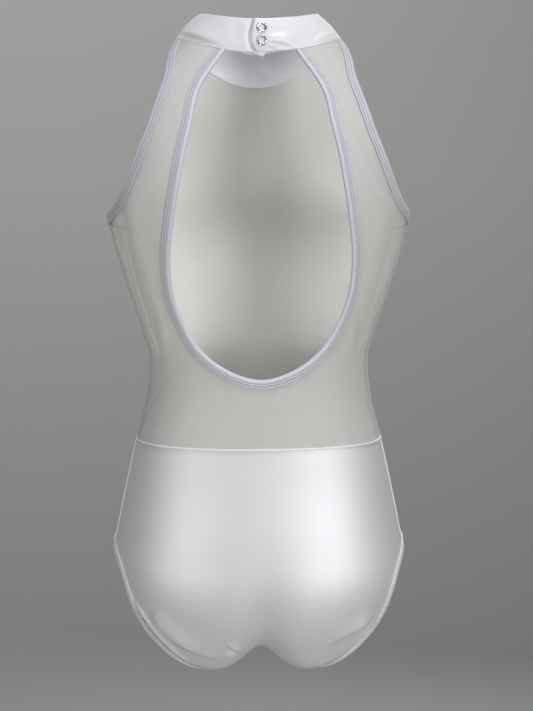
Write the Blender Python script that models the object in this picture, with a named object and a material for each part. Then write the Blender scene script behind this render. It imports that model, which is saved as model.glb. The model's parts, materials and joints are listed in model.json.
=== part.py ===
# A sleeveless halter leotard for dance, hollow and standing in its worn shape.
# Metres, +Z up. The back of the costume faces -Y, its front faces +Y.
# The origin is the centre of the neck opening, just below the foot of the collar's sides.
# A place on the cloth is an angle and a level. The angle runs round the body from the centre back (0)
# over +X (90 degrees) to the centre front (180). The level is a height down to the hip, and below it
# the cloth's turn under the seat towards the crotch.

import math
from collections import namedtuple

import bmesh
import bpy
import numpy as np

# Cloth
PANEL_CLOTH = 0.0012
BINDING_CLOTH = 0.0010
COLLAR_CLOTH = 0.0020
SEAM_GAP = 0.0003
KEYHOLE_BINDING_WIDTH = 0.0076
ARMHOLE_BINDING_WIDTH = 0.0090
HEM_WIDTH = 0.0070
ALLOWANCE_WIDTH = 0.0060
SIDE_STEP = 0.0100

# Levels
COLLAR_FOOT = 0.0060
UNDERARM_LEVEL = -0.1760
WAIST_LEVEL = -0.4070
HIP_LEVEL = -0.5250

# The neckline falls below its sides at the centre back and the centre front.
NECK_DIP_BACK = 0.0175
NECK_DIP_FRONT = 0.0460

# Roundness of the body's sections, and the radius that turns a level below the hip into an angle.
FULLNESS = 0.035
TURN_RADIUS = 0.110

# The seat's two soft rounds meet in a dip at the centre.
SEAT_DIP_ANGLE = math.radians(9)
SEAT_ROUND_ANGLE = math.radians(50)

Section = namedtuple("Section", "level half_width back front")
SECTIONS = (
    Section(0.006, 0.0850, 0.062, 0.060),
    Section(-0.020, 0.1120, 0.073, 0.069),
    Section(-0.045, 0.1360, 0.084, 0.078),
    Section(-0.090, 0.1570, 0.098, 0.092),
    Section(-0.140, 0.1595, 0.103, 0.104),
    Section(-0.187, 0.1530, 0.100, 0.111),
    Section(-0.219, 0.1444, 0.095, 0.107),
    Section(-0.255, 0.1337, 0.088, 0.098),
    Section(-0.287, 0.1222, 0.080, 0.089),
    Section(-0.321, 0.1135, 0.076, 0.082),
    Section(-0.344, 0.1142, 0.076, 0.083),
    Section(-0.367, 0.1174, 0.079, 0.087),
    Section(-0.407, 0.1278, 0.088, 0.093),
    Section(-0.450, 0.1376, 0.100, 0.097),
    Section(-0.488, 0.1457, 0.108, 0.097),
    Section(-0.525, 0.1533, 0.112, 0.095),
)

# Below the hip: depth from the hip's centre and fullness of the seat's rounds, by the angle turned
# from the back (0) through the crotch (90 degrees) to the front (180).
Turn = namedtuple("Turn", "angle depth round")
TURNS = (
    Turn(0, 0.1120, 0.00),
    Turn(20, 0.1150, 0.05),
    Turn(45, 0.1130, 0.17),
    Turn(62, 0.1065, 0.31),
    Turn(76, 0.0985, 0.32),
    Turn(90, 0.0945, 0.17),
    Turn(112, 0.0930, 0.04),
    Turn(140, 0.0940, 0.00),
    Turn(180, 0.0950, 0.00),
)

# Cloth edges as seen from behind or in front: the height and the distance from the centre line.
Edge = namedtuple("Edge", "height across")
KEYHOLE_TOP_ACROSS = 0.0365
KEYHOLE_EDGE = (
    Edge(-0.040, 0.0578),
    Edge(-0.079, 0.0692),
    Edge(-0.130, 0.0804),
    Edge(-0.180, 0.0886),
    Edge(-0.216, 0.0920),
    Edge(-0.249, 0.0896),
    Edge(-0.278, 0.0802),
    Edge(-0.308, 0.0620),
    Edge(-0.328, 0.0358),
)
KEYHOLE_BOTTOM = -0.3385
ARMHOLE_BACK_ACROSS = 0.0825
ARMHOLE_BACK = (
    Edge(-0.040, 0.0965),
    Edge(-0.079, 0.1100),
    Edge(-0.125, 0.1285),
    Edge(-0.156, 0.1425),
)
ARMHOLE_FRONT_ACROSS = 0.0800
ARMHOLE_FRONT = (
    Edge(-0.040, 0.0880),
    Edge(-0.079, 0.0990),
    Edge(-0.125, 0.1195),
    Edge(-0.156, 0.1390),
)
UNDERARM_CURVE_ANGLE = math.radians(79)
UNDERARM_CURVE_LEVEL = -0.1720
UNDERARM_EASE = 0.0004

# The leg openings: angle from the centre line and angle turned under, both from the panel's own side.
Leg = namedtuple("Leg", "angle turn")
LEG_BACK = (
    Leg(90, 1),
    Leg(84, 4),
    Leg(78, 7.5),
    Leg(72, 12),
    Leg(66, 18.5),
    Leg(60, 28.5),
    Leg(55, 37.5),
    Leg(49, 45.5),
    Leg(43, 50.5),
    Leg(35, 55.5),
    Leg(28, 61),
    Leg(22, 67),
    Leg(17, 73.5),
    Leg(13.5, 82),
    Leg(12, 90),
)
LEG_FRONT = (
    Leg(90, 1),
    Leg(84, 4.5),
    Leg(78, 8.5),
    Leg(70, 15),
    Leg(60, 24),
    Leg(50, 33.5),
    Leg(40, 43),
    Leg(32, 50.5),
    Leg(24, 59.5),
    Leg(17, 69.5),
    Leg(13, 80),
    Leg(12, 90),
)

# Stations along the panels' edges, and steps between the edges.
ARMHOLE_STEPS = 14
SIDE_STEPS = 10
KEYHOLE_FOOT_STEPS = 9
MESH_STEPS = 5
BODICE_STEPS = 16
LEG_SIDE_STEPS = 9
LEG_CROTCH_STEPS = 7
BRIEF_STEPS = 8
KEYHOLE_AT_UNDERARM = 0.50
KEYHOLE_AT_WAIST_CORNER = 0.80

# The collar, as an ellipse at its foot and one at its top.
Ring = namedtuple("Ring", "half_width back front side_height dip_back dip_front")
COLLAR_RINGS = (
    Ring(0.0850, 0.0620, 0.0600, COLLAR_FOOT, NECK_DIP_BACK, NECK_DIP_FRONT),
    Ring(0.0615, 0.0590, 0.0560, 0.0305, 0.0100, 0.0365),
)
COLLAR_BOW = 0.0015
COLLAR_STEPS = 60
COLLAR_HEIGHT_STEPS = 4
OVERLAP_RIGHT = 0.0160
OVERLAP_LEFT = 0.0076
OVERLAP_RAMP = math.radians(28)
OVERLAP_LIFT = COLLAR_CLOTH + SEAM_GAP

# Ring snaps
SNAP_OUTER = 0.0052
SNAP_INNER = 0.0029
SNAP_THICK = 0.0011
SNAP_ACROSS = 0.0010
SNAP_HEIGHTS = (0.73, 0.32)
SNAP_SIDES = 20
SNAP_HOLLOW_GAP = 0.0003

Finish = namedtuple("Finish", "color roughness metallic")
FINISHES = {
    "satin spandex": Finish((0.86, 0.87, 0.89), 0.42, 0.0),
    "power mesh": Finish((0.80, 0.81, 0.80), 0.70, 0.0),
    "fold binding": Finish((0.83, 0.82, 0.88), 0.60, 0.0),
    "bright metal": Finish((0.80, 0.80, 0.80), 0.22, 1.0),
}


def clear_scene():
    for thing in list(bpy.data.objects):
        bpy.data.objects.remove(thing, do_unlink=True)


def smooth_curve(places, values, at):
    # A cubic through the table's rows, with each row's slope taken from its neighbours.
    slopes = np.gradient(values, places)
    left = np.clip(np.searchsorted(places, at) - 1, 0, len(places) - 2)
    width = places[left + 1] - places[left]
    part = np.clip((at - places[left]) / width, 0.0, 1.0)
    start = (2 * part**3 - 3 * part**2 + 1) * values[left]
    end = (3 * part**2 - 2 * part**3) * values[left + 1]
    leave = (part**3 - 2 * part**2 + part) * width * slopes[left]
    arrive = (part**3 - part**2) * width * slopes[left + 1]
    return start + end + leave + arrive


def read_table(table, column, at):
    rows = sorted(table)
    places = np.array([row[0] for row in rows], float)
    values = np.array([getattr(row, column) for row in rows], float)
    return smooth_curve(places, values, at)


def neck_dip(angle, level):
    share = np.clip((level - UNDERARM_LEVEL) / (COLLAR_FOOT - UNDERARM_LEVEL), 0.0, 1.0)
    fade = share**2 * (3 - 2 * share)
    deepest = np.where(np.cos(angle) > 0, NECK_DIP_BACK, NECK_DIP_FRONT)
    return deepest * np.cos(angle) ** 2 * fade


def surface(angle, level):
    # The outer face of the cloth at this angle and level.
    angle, level = np.broadcast_arrays(np.asarray(angle, float), np.asarray(level, float))
    at_back = np.cos(angle) > 0
    ring = np.maximum(level, HIP_LEVEL)
    turned = np.maximum(HIP_LEVEL - level, 0.0) / TURN_RADIUS
    turned_from_back = np.degrees(np.where(at_back, turned, math.pi - turned))
    back = read_table(SECTIONS, "back", ring)
    front = read_table(SECTIONS, "front", ring)
    depth = np.where(at_back, back, front)
    depth = np.where(turned > 0, read_table(TURNS, "depth", turned_from_back), depth)
    spread = np.arcsin(np.clip(np.abs(np.sin(angle)), 0.0, 1.0))
    dip = 1 - np.exp(-((spread / SEAT_DIP_ANGLE) ** 2))
    seat = dip * np.exp(-((spread / SEAT_ROUND_ANGLE) ** 2))
    seat_round = np.where(turned > 0, read_table(TURNS, "round", turned_from_back), 0.0)
    size = 1 + FULLNESS * np.sin(2 * angle) ** 2 + seat_round * seat
    x = read_table(SECTIONS, "half_width", ring) * np.sin(angle) * size
    y = -depth * np.cos(angle) * np.cos(turned) * size
    z = ring - neck_dip(angle, level) - depth * np.abs(np.cos(angle)) * np.sin(turned) * size
    return np.stack([x, y, z], axis=-1)


def slopes(place):
    # How the surface moves with the angle and with the level.
    angle, level = place[..., 0], place[..., 1]
    turn, rise = 1e-4, 1e-5
    by_angle = (surface(angle + turn, level) - surface(angle - turn, level)) / (2 * turn)
    by_level = (surface(angle, level + rise) - surface(angle, level - rise)) / (2 * rise)
    return by_angle, by_level


def normals(place):
    by_angle, by_level = slopes(place)
    across = np.cross(by_angle, by_level)
    return across / np.linalg.norm(across, axis=-1, keepdims=True)


def points(place):
    return surface(place[..., 0], place[..., 1])


def unit(vectors):
    return vectors / np.linalg.norm(vectors, axis=-1, keepdims=True)


def place_of(across, height, in_front=False):
    # The angle and level of a point given by its distance from the centre line and its height.
    tried = np.linspace(0.0, math.pi / 2, 241)
    level = height
    for _ in range(8):
        angle = np.interp(across, surface(tried, level)[:, 0], tried)
        angle = math.pi - angle if in_front else angle
        level = height + float(neck_dip(angle, level))
    return float(angle), level


def place_at_foot(across, in_front=False):
    tried = np.linspace(0.0, math.pi / 2, 241)
    angle = np.interp(across, surface(tried, COLLAR_FOOT)[:, 0], tried)
    return (math.pi - angle if in_front else angle), COLLAR_FOOT - SEAM_GAP


def run_lengths(path):
    steps = np.linalg.norm(np.diff(points(path), axis=0), axis=1)
    return np.concatenate([[0.0], np.cumsum(steps)])


def at_lengths(path, lengths):
    run = run_lengths(path)
    return np.column_stack([np.interp(lengths, run, path[:, i]) for i in (0, 1)])


def evenly(path, steps, start=0.0, end=1.0):
    whole = run_lengths(path)[-1]
    return at_lengths(path, np.linspace(start, end, steps + 1) * whole)


def curve_through(keys):
    keys = np.array(keys, float)
    run = run_lengths(keys)
    fine = np.linspace(0.0, run[-1], 500)
    return np.column_stack([smooth_curve(run, keys[:, i], fine) for i in (0, 1)])


def straight(start, end):
    return np.linspace(start, end, 60)


def inset(edge, width, side):
    # The line that lies this far from an edge, measured at a right angle on the surface.
    here = points(edge)
    along = unit(np.gradient(here, axis=0))
    target = here + np.cross(normals(edge), along) * side * width
    return nearest_place(edge, target)


def nearest_place(place, target):
    place = np.array(place, float)
    for _ in range(12):
        by_angle, by_level = slopes(place)
        missing = target - points(place)
        for i, miss in enumerate(missing):
            matrix = np.column_stack([by_angle[i], by_level[i]])
            place[i] += 0.8 * np.linalg.lstsq(matrix, miss, rcond=None)[0]
    return place


def keyhole_edge():
    # From the collar down the +X side to the foot of the keyhole, then mirrored up the other side.
    side = [place_at_foot(KEYHOLE_TOP_ACROSS)]
    side += [place_of(row.across, row.height) for row in KEYHOLE_EDGE]
    other = [(-angle, level) for angle, level in reversed(side)]
    whole = curve_through(side + [(0.0, KEYHOLE_BOTTOM)] + other)
    return whole[: len(whole) // 2 + 1]


def armhole_edge(rows, top_across, in_front):
    # From the collar down to the underarm, where it meets the side seam.
    keys = [place_at_foot(top_across, in_front)]
    keys += [place_of(row.across, row.height, in_front) for row in rows]
    bend = math.pi - UNDERARM_CURVE_ANGLE if in_front else UNDERARM_CURVE_ANGLE
    beyond = math.pi - bend
    keys += [(bend, UNDERARM_CURVE_LEVEL), (math.pi / 2, UNDERARM_LEVEL)]
    keys += [(beyond, UNDERARM_CURVE_LEVEL)]
    path = curve_through(keys)
    passed = path[:, 0] < math.pi / 2 if in_front else path[:, 0] > math.pi / 2
    last = len(path) - np.argmin(passed[::-1])
    path = path[:last].copy()
    path[-1] = (math.pi / 2, UNDERARM_LEVEL)
    return path


def beside_seam(place, in_front):
    # Moves a place on the side seam half a gap into its own panel.
    shift = 0.5 * SEAM_GAP / float(np.linalg.norm(slopes(np.array(place))[0]))
    return np.array([place[0] + (shift if in_front else -shift), place[1]])


def side_line(top, foot, in_front):
    ends = [beside_seam((math.pi / 2, level), in_front) for level in (top, foot)]
    return straight(*ends)


def leg_edge(rows, in_front):
    # From the side seam's foot to the crotch.
    keys = []
    for row in rows:
        angle = math.radians(180 - row.angle if in_front else row.angle)
        keys.append((angle, HIP_LEVEL - TURN_RADIUS * math.radians(row.turn)))
    crotch = 0.5 * SEAM_GAP / 0.095 * TURN_RADIUS
    path = curve_through(keys)
    path[-1, 1] += crotch
    path[0] = beside_seam((math.pi / 2, HIP_LEVEL), in_front)
    return path


def between(first, second, steps):
    # Lines across a panel from one edge to the other, evenly stepped on the surface.
    lines = [evenly(straight(a, b), steps) for a, b in zip(first, second)]
    return np.array(lines)


def mirrored(grid):
    other = grid.copy()
    other[..., 0] *= -1
    return other


def mirrored_front(grid):
    other = grid.copy()
    other[..., 0] = 2 * math.pi - other[..., 0]
    return other


def mesh_of(name, vertices, faces, finish):
    mesh = bpy.data.meshes.new(name)
    mesh.from_pydata([tuple(v) for v in vertices], [], faces)
    built = bmesh.new()
    built.from_mesh(mesh)
    bmesh.ops.recalc_face_normals(built, faces=built.faces)
    if built.calc_volume(signed=True) < 0:
        bmesh.ops.reverse_faces(built, faces=built.faces)
    # The shorter diagonal everywhere, so that a strip's facets follow those of the cloth under it.
    bmesh.ops.triangulate(built, faces=built.faces, quad_method="SHORT_EDGE")
    built.to_mesh(mesh)
    built.free()
    mesh.shade_smooth()
    mesh.set_sharp_from_angle(angle=math.radians(40))
    thing = bpy.data.objects.new(name, mesh)
    thing.data.materials.append(material(finish))
    bpy.context.scene.collection.objects.link(thing)
    return thing


def material(finish):
    if finish in bpy.data.materials:
        return bpy.data.materials[finish]
    made = bpy.data.materials.new(finish)
    made.use_nodes = True
    shader = made.node_tree.nodes["Principled BSDF"]
    look = FINISHES[finish]
    shader.inputs["Base Color"].default_value = (*look.color, 1)
    shader.inputs["Roughness"].default_value = look.roughness
    shader.inputs["Metallic"].default_value = look.metallic
    return made


def cloth_wall(name, grids, top, foot, finish):
    # A wall between two offsets from the surface, over one or more grids that share edges.
    index, places, quads = {}, [], []
    for grid in grids:
        ids = np.empty(grid.shape[:2], int)
        for i in range(grid.shape[0]):
            for j in range(grid.shape[1]):
                key = tuple(np.round(grid[i, j], 8))
                if key not in index:
                    index[key] = len(places)
                    places.append(grid[i, j])
                ids[i, j] = index[key]
        for i in range(grid.shape[0] - 1):
            for j in range(grid.shape[1] - 1):
                quads.append((ids[i, j], ids[i + 1, j], ids[i + 1, j + 1], ids[i, j + 1]))
    places = np.array(places)
    base, outward = points(places), normals(places)
    vertices = np.concatenate([base + outward * top, base + outward * foot])
    quads = [facing_out(quad, base, outward) for quad in quads]
    count = len(places)
    faces = [tuple(int(v) for v in quad) for quad in quads]
    faces += [tuple(int(v) + count for v in reversed(quad)) for quad in quads]
    faces += [(b, a, a + count, b + count) for a, b in open_edges(quads)]
    return mesh_of(name, vertices, faces, finish)


def facing_out(quad, base, outward):
    corners = base[list(quad)]
    across = np.cross(corners[2] - corners[0], corners[3] - corners[1])
    return quad if across @ outward[quad[0]] > 0 else quad[::-1]


def open_edges(quads):
    directed = {(int(a), int(b)) for quad in quads for a, b in zip(quad, quad[1:] + quad[:1])}
    return [edge for edge in directed if edge[::-1] not in directed]


def swept(name, rings, finish, closed=False):
    # A tube of cloth through like-numbered rings, capped unless it closes on itself.
    rings = np.array(rings)
    count, corners = rings.shape[:2]
    faces = []
    for i in range(count if closed else count - 1):
        for j in range(corners):
            nxt = (i + 1) % count
            k = (j + 1) % corners
            faces.append((i * corners + j, i * corners + k, nxt * corners + k, nxt * corners + j))
    if not closed:
        faces.append(tuple(range(corners)))
        faces.append(tuple(range((count - 1) * corners, count * corners)))
    return mesh_of(name, rings.reshape(-1, 3), faces, finish)


def fold_over(edge, inner, ease=0.0):
    # The eight corners of a strip folded over a panel's edge, at each station. Ease is room inside the
    # fold beyond the seam gap.
    here, there = points(edge), points(inner)
    out_here, out_there = normals(edge), normals(inner)
    beyond = unit(here - there)
    near = SEAM_GAP + ease
    far = near + BINDING_CLOTH
    low = -PANEL_CLOTH - near
    lowest = low - BINDING_CLOTH
    corners = [
        there + out_there * near,
        there + out_there * far,
        here + beyond * far + out_here * far,
        here + beyond * far + out_here * lowest,
        there + out_there * lowest,
        there + out_there * low,
        here + beyond * near + out_here * low,
        here + beyond * near + out_here * near,
    ]
    return np.stack(corners, axis=1)


def flip(rings):
    rings = rings.copy()
    rings[..., 0] *= -1
    return rings


def build_back_mesh(keyhole, armhole):
    side = side_line(UNDERARM_LEVEL, WAIST_LEVEL + SEAM_GAP / 2, False)
    waist = straight(side[-1], (0.0, side[-1, 1]))
    first = evenly(keyhole, ARMHOLE_STEPS, 0.0, KEYHOLE_AT_UNDERARM)
    second = evenly(keyhole, SIDE_STEPS, KEYHOLE_AT_UNDERARM, KEYHOLE_AT_WAIST_CORNER)
    third = evenly(keyhole, KEYHOLE_FOOT_STEPS, KEYHOLE_AT_WAIST_CORNER, 1.0)
    inner = np.concatenate([first, second[1:], third[1:]])
    under = evenly(armhole, ARMHOLE_STEPS)
    under[-1] = side[0]
    down = evenly(side, SIDE_STEPS)
    round_waist = evenly(waist, KEYHOLE_FOOT_STEPS)
    outer = np.concatenate([under, down[1:], round_waist[1:]])
    corner = [ARMHOLE_STEPS, ARMHOLE_STEPS + SIDE_STEPS]
    inner_step = inset(inner, KEYHOLE_BINDING_WIDTH, 1)
    inner_step[0, 1] = inner[0, 1]
    inner_step[-1, 0] = 0.0
    pieces = [
        inset(under, ARMHOLE_BINDING_WIDTH, -1),
        inset(down, SIDE_STEP, -1),
        inset(round_waist, ALLOWANCE_WIDTH, -1),
    ]
    pieces[0][0, 1] = under[0, 1]
    pieces[2][-1, 0] = 0.0
    outer_step = np.concatenate([pieces[0][:-1], pieces[1][1:-1], pieces[2][1:]])
    outer_step = np.insert(outer_step, corner[0], (pieces[1][0, 0], pieces[0][-1, 1]), axis=0)
    outer_step = np.insert(outer_step, corner[1], (pieces[1][-1, 0], pieces[2][0, 1]), axis=0)
    middle = between(inner_step, outer_step, MESH_STEPS)
    grid = np.concatenate([inner[:, None], middle, outer[:, None]], axis=1)
    cloth_wall("back_mesh", [grid, mirrored(grid)], 0.0, -PANEL_CLOTH, "power mesh")
    return grid, corner


def build_front_bodice(armhole):
    side = side_line(UNDERARM_LEVEL, WAIST_LEVEL + SEAM_GAP / 2, True)
    under = evenly(armhole, ARMHOLE_STEPS)
    under[-1] = side[0]
    down = evenly(side, SIDE_STEPS)
    outer = np.concatenate([under, down[1:]])
    under_step = inset(under, ARMHOLE_BINDING_WIDTH, 1)
    under_step[0, 1] = under[0, 1]
    down_step = inset(down, SIDE_STEP, 1)
    outer_step = np.concatenate([under_step[:-1], down_step])
    outer_step[ARMHOLE_STEPS, 1] = under_step[-1, 1]
    outer_step[-1, 1] = outer[-1, 1]
    centre = evenly(straight((math.pi, outer[0, 1]), (math.pi, outer[-1, 1])), len(outer) - 1)
    middle = between(outer_step, centre, BODICE_STEPS // 2)
    grid = np.concatenate([outer[:, None], middle], axis=1)
    grids = [grid, mirrored_front(grid)]
    cloth_wall("front_bodice", grids, 0.0, -PANEL_CLOTH, "satin spandex")
    return under, under_step


def build_brief(name, rows, in_front):
    centre_angle = math.pi if in_front else 0.0
    leg = leg_edge(rows, in_front)
    top = WAIST_LEVEL - SEAM_GAP / 2
    side_top = beside_seam((math.pi / 2, top), in_front)
    waist = evenly(straight(side_top, (centre_angle, top)), LEG_SIDE_STEPS)
    down = evenly(straight((centre_angle, top), (centre_angle, leg[-1, 1])), LEG_CROTCH_STEPS)
    chain = np.concatenate([waist, down[1:]])
    edge = evenly(leg, LEG_SIDE_STEPS + LEG_CROTCH_STEPS)
    hem = inset(edge, HEM_WIDTH, 1 if in_front else -1)
    hem[0] = (edge[0, 0], HIP_LEVEL + HEM_WIDTH)
    hem[-1, 1] = edge[-1, 1]
    middle = between(hem, chain, BRIEF_STEPS)
    grid = np.concatenate([edge[:, None], middle], axis=1)
    other = mirrored_front(grid) if in_front else mirrored(grid)
    cloth_wall(name, [grid, other], 0.0, -PANEL_CLOTH, "satin spandex")
    return edge, hem


def build_bindings(back_grid, corner, front_edge, front_step):
    inner, inner_step = back_grid[:, 0], back_grid[:, 1]
    half = fold_over(inner, inner_step)
    whole = np.concatenate([half[:-1], flip(half)[::-1]])
    swept("keyhole_binding", whole, "fold binding")
    edge, step = back_grid[: corner[0] + 1, -1], back_grid[: corner[0] + 1, -2].copy()
    step[-1, 0] = edge[-1, 0]
    front_inner = front_step.copy()
    front_inner[-1, 0] = front_edge[-1, 0]
    # Two cloths and a side seam meet under the arm, so the fold is a little roomier there.
    ease = np.zeros((len(edge), 1))
    ease[-3:] = UNDERARM_EASE
    back_rings = fold_over(edge, step, ease)
    front_rings = fold_over(front_edge, front_inner, ease)
    seam = 0.5 * (back_rings[-1] + front_rings[-1])
    rings = np.concatenate([back_rings[:-1], seam[None], front_rings[-2::-1]])
    swept("armhole_binding_right", rings, "fold binding")
    swept("armhole_binding_left", flip(rings), "fold binding")


def build_hems(back_edge, back_hem, front_edge, front_hem):
    back_rings = fold_over(back_edge, back_hem)
    front_rings = fold_over(front_edge, front_hem)
    side = 0.5 * (back_rings[0] + front_rings[0])
    crotch = 0.5 * (back_rings[-1] + front_rings[-1])
    rings = np.concatenate([side[None], back_rings[1:-1], crotch[None], front_rings[-2:0:-1]])
    swept("leg_hem_right", rings, "satin spandex", closed=True)
    swept("leg_hem_left", flip(rings), "satin spandex", closed=True)


def build_waist_allowance(back_grid, corner):
    edge, step = back_grid[corner[1] :, -1], back_grid[corner[1] :, -2]
    strip = np.stack([edge, step], axis=1)
    top = -PANEL_CLOTH - SEAM_GAP
    strips = [strip, mirrored(strip)]
    cloth_wall("waist_allowance", strips, top, top - BINDING_CLOTH, "satin spandex")


def ring_point(ring, angle):
    at_back = math.cos(angle) > 0
    depth = ring.back if at_back else ring.front
    dip = ring.dip_back if at_back else ring.dip_front
    x, y = ring.half_width * math.sin(angle), -depth * math.cos(angle)
    return np.array([x, y, ring.side_height - dip * math.cos(angle) ** 2])


def collar_point(angle, share, lift):
    # A point of the collar's band: share runs from its foot (0) to its top (1).
    foot, top = (ring_point(ring, angle) for ring in COLLAR_RINGS)
    along = ring_point(COLLAR_RINGS[0], angle + 0.01) - ring_point(COLLAR_RINGS[0], angle - 0.01)
    own = unit(np.cross(along, top - foot))
    # At its foot the band's thickness lies square to the body, so that it meets the panels flush.
    body = normals(np.array([angle, COLLAR_FOOT - SEAM_GAP]))
    outward = unit(body * (1 - share) ** 2 + own * (1 - (1 - share) ** 2))
    bow = COLLAR_BOW * math.sin(math.pi * share)
    return foot * (1 - share) + top * share + outward * (bow + lift)


def collar_angles():
    # The band starts under its other end, right of the centre back, and goes once round.
    start = math.asin(OVERLAP_RIGHT / COLLAR_RINGS[0].half_width)
    end = -math.asin(OVERLAP_LEFT / COLLAR_RINGS[0].half_width) - 2 * math.pi
    return np.linspace(start, end, COLLAR_STEPS + 1)


def collar_lift(angle):
    # The last stretch rises over the band's own start.
    start = math.asin(OVERLAP_RIGHT / COLLAR_RINGS[0].half_width) - 2 * math.pi
    near = np.clip((start + OVERLAP_RAMP + math.radians(4) - angle) / OVERLAP_RAMP, 0.0, 1.0)
    return OVERLAP_LIFT * near**2 * (3 - 2 * near)


def build_collar():
    shares = np.linspace(0.0, 1.0, COLLAR_HEIGHT_STEPS + 1)
    rings = []
    for angle in collar_angles():
        lift = float(collar_lift(angle))
        outside = [collar_point(angle, share, lift) for share in shares]
        inside = [collar_point(angle, share, lift - COLLAR_CLOTH) for share in shares[::-1]]
        rings.append(outside + inside)
    return swept("collar_band", rings, "satin spandex")


def build_snap(name, share, lift, inward):
    # A flat ring with a rounded rim, lying on the collar.
    angle = math.asin(SNAP_ACROSS / COLLAR_RINGS[0].half_width)
    centre = collar_point(angle, share, lift)
    up = unit(collar_point(angle, share + 0.1, lift) - collar_point(angle, share - 0.1, lift))
    side = unit(collar_point(angle + 0.02, share, lift) - collar_point(angle - 0.02, share, lift))
    outward = unit(np.cross(side, up)) * (-1 if inward else 1)
    base = centre + outward * (SEAM_GAP + (SNAP_HOLLOW_GAP if inward else 0.0))
    middle = 0.5 * (SNAP_OUTER + SNAP_INNER)
    profile = (
        (SNAP_OUTER, 0.0),
        (SNAP_OUTER, 0.45 * SNAP_THICK),
        (middle, SNAP_THICK),
        (SNAP_INNER, 0.45 * SNAP_THICK),
        (SNAP_INNER, 0.0),
    )
    rings = []
    for turn in np.linspace(0.0, 2 * math.pi, SNAP_SIDES, endpoint=False):
        spoke = side * math.cos(turn) + up * math.sin(turn)
        rings.append([base + spoke * radius + outward * rise for radius, rise in profile])
    swept(name, rings, "bright metal", closed=True)


def build_snaps():
    for label, share in zip(("upper", "lower"), SNAP_HEIGHTS):
        build_snap("snap_" + label, share, OVERLAP_LIFT, False)
        build_snap("snap_back_" + label, share, -COLLAR_CLOTH, True)


def main():
    clear_scene()
    keyhole = keyhole_edge()
    back_armhole = armhole_edge(ARMHOLE_BACK, ARMHOLE_BACK_ACROSS, False)
    front_armhole = armhole_edge(ARMHOLE_FRONT, ARMHOLE_FRONT_ACROSS, True)
    back_grid, corner = build_back_mesh(keyhole, back_armhole)
    front_edge, front_step = build_front_bodice(front_armhole)
    back_leg, back_hem = build_brief("brief_back", LEG_BACK, False)
    front_leg, front_hem = build_brief("brief_front", LEG_FRONT, True)
    build_bindings(back_grid, corner, front_edge, front_step)
    build_hems(back_leg, back_hem, front_leg, front_hem)
    build_waist_allowance(back_grid, corner)
    build_collar()
    build_snaps()


main()
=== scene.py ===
import json
import math
from collections import namedtuple

import bmesh
import bpy
import numpy as np
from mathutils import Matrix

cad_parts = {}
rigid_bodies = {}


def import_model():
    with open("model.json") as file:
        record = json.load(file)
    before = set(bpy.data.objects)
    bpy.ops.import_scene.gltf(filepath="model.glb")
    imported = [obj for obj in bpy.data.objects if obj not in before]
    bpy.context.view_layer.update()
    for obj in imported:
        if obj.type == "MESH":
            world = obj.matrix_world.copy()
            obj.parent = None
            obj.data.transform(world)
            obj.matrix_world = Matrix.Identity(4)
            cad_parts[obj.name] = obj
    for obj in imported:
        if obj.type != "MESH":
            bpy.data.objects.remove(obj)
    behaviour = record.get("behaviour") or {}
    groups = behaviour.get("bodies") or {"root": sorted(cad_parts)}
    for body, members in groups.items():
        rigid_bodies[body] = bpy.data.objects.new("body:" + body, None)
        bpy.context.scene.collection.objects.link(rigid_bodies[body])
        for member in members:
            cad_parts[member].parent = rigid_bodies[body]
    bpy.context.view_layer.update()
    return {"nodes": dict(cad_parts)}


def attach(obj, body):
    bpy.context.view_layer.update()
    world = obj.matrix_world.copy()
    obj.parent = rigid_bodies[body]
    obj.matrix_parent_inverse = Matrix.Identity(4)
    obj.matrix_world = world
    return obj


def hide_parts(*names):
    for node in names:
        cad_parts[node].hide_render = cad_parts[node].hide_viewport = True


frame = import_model()
print("frame loaded:", len(frame["nodes"]), "nodes")

# The form that the cloth lies on. A place on it is an angle round the body, 0 at the centre back and
# growing over +X, and a level: a height down to the hip, and below it the cloth's turn under the seat.
bodyForm = {
    "footLevel": 0.006,
    "underarmLevel": -0.176,
    "waistLevel": -0.407,
    "hipLevel": -0.525,
    "hipEase": 0.018,
    "neckDipBack": 0.0175,
    "neckDipFront": 0.046,
    "fullness": 0.035,
    "turnRadius": 0.110,
    "seatDipAngle": math.radians(9),
    "seatRoundAngle": math.radians(50),
}

Section = namedtuple("Section", "level halfWidth back front")
sections = (
    Section(0.006, 0.0850, 0.062, 0.060),
    Section(-0.020, 0.1120, 0.073, 0.069),
    Section(-0.045, 0.1360, 0.084, 0.078),
    Section(-0.090, 0.1570, 0.098, 0.092),
    Section(-0.140, 0.1595, 0.103, 0.104),
    Section(-0.187, 0.1530, 0.100, 0.111),
    Section(-0.219, 0.1444, 0.095, 0.107),
    Section(-0.255, 0.1337, 0.088, 0.098),
    Section(-0.287, 0.1222, 0.080, 0.089),
    Section(-0.321, 0.1135, 0.076, 0.082),
    Section(-0.344, 0.1142, 0.076, 0.083),
    Section(-0.367, 0.1174, 0.079, 0.087),
    Section(-0.407, 0.1278, 0.088, 0.093),
    Section(-0.450, 0.1376, 0.100, 0.097),
    Section(-0.488, 0.1457, 0.108, 0.097),
    Section(-0.525, 0.1533, 0.112, 0.095),
)

# Below the hip, by the angle turned from the back (0) through the crotch (90) to the front (180).
Turn = namedtuple("Turn", "angle depth round")
turns = (
    Turn(0, 0.1120, 0.00),
    Turn(20, 0.1150, 0.05),
    Turn(45, 0.1130, 0.17),
    Turn(62, 0.1065, 0.31),
    Turn(76, 0.0985, 0.32),
    Turn(90, 0.0945, 0.17),
    Turn(112, 0.0930, 0.04),
    Turn(140, 0.0940, 0.00),
    Turn(180, 0.0950, 0.00),
)

cloth = {"panel": 0.0012, "binding": 0.0010, "collar": 0.0020, "gap": 0.0003}


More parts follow.
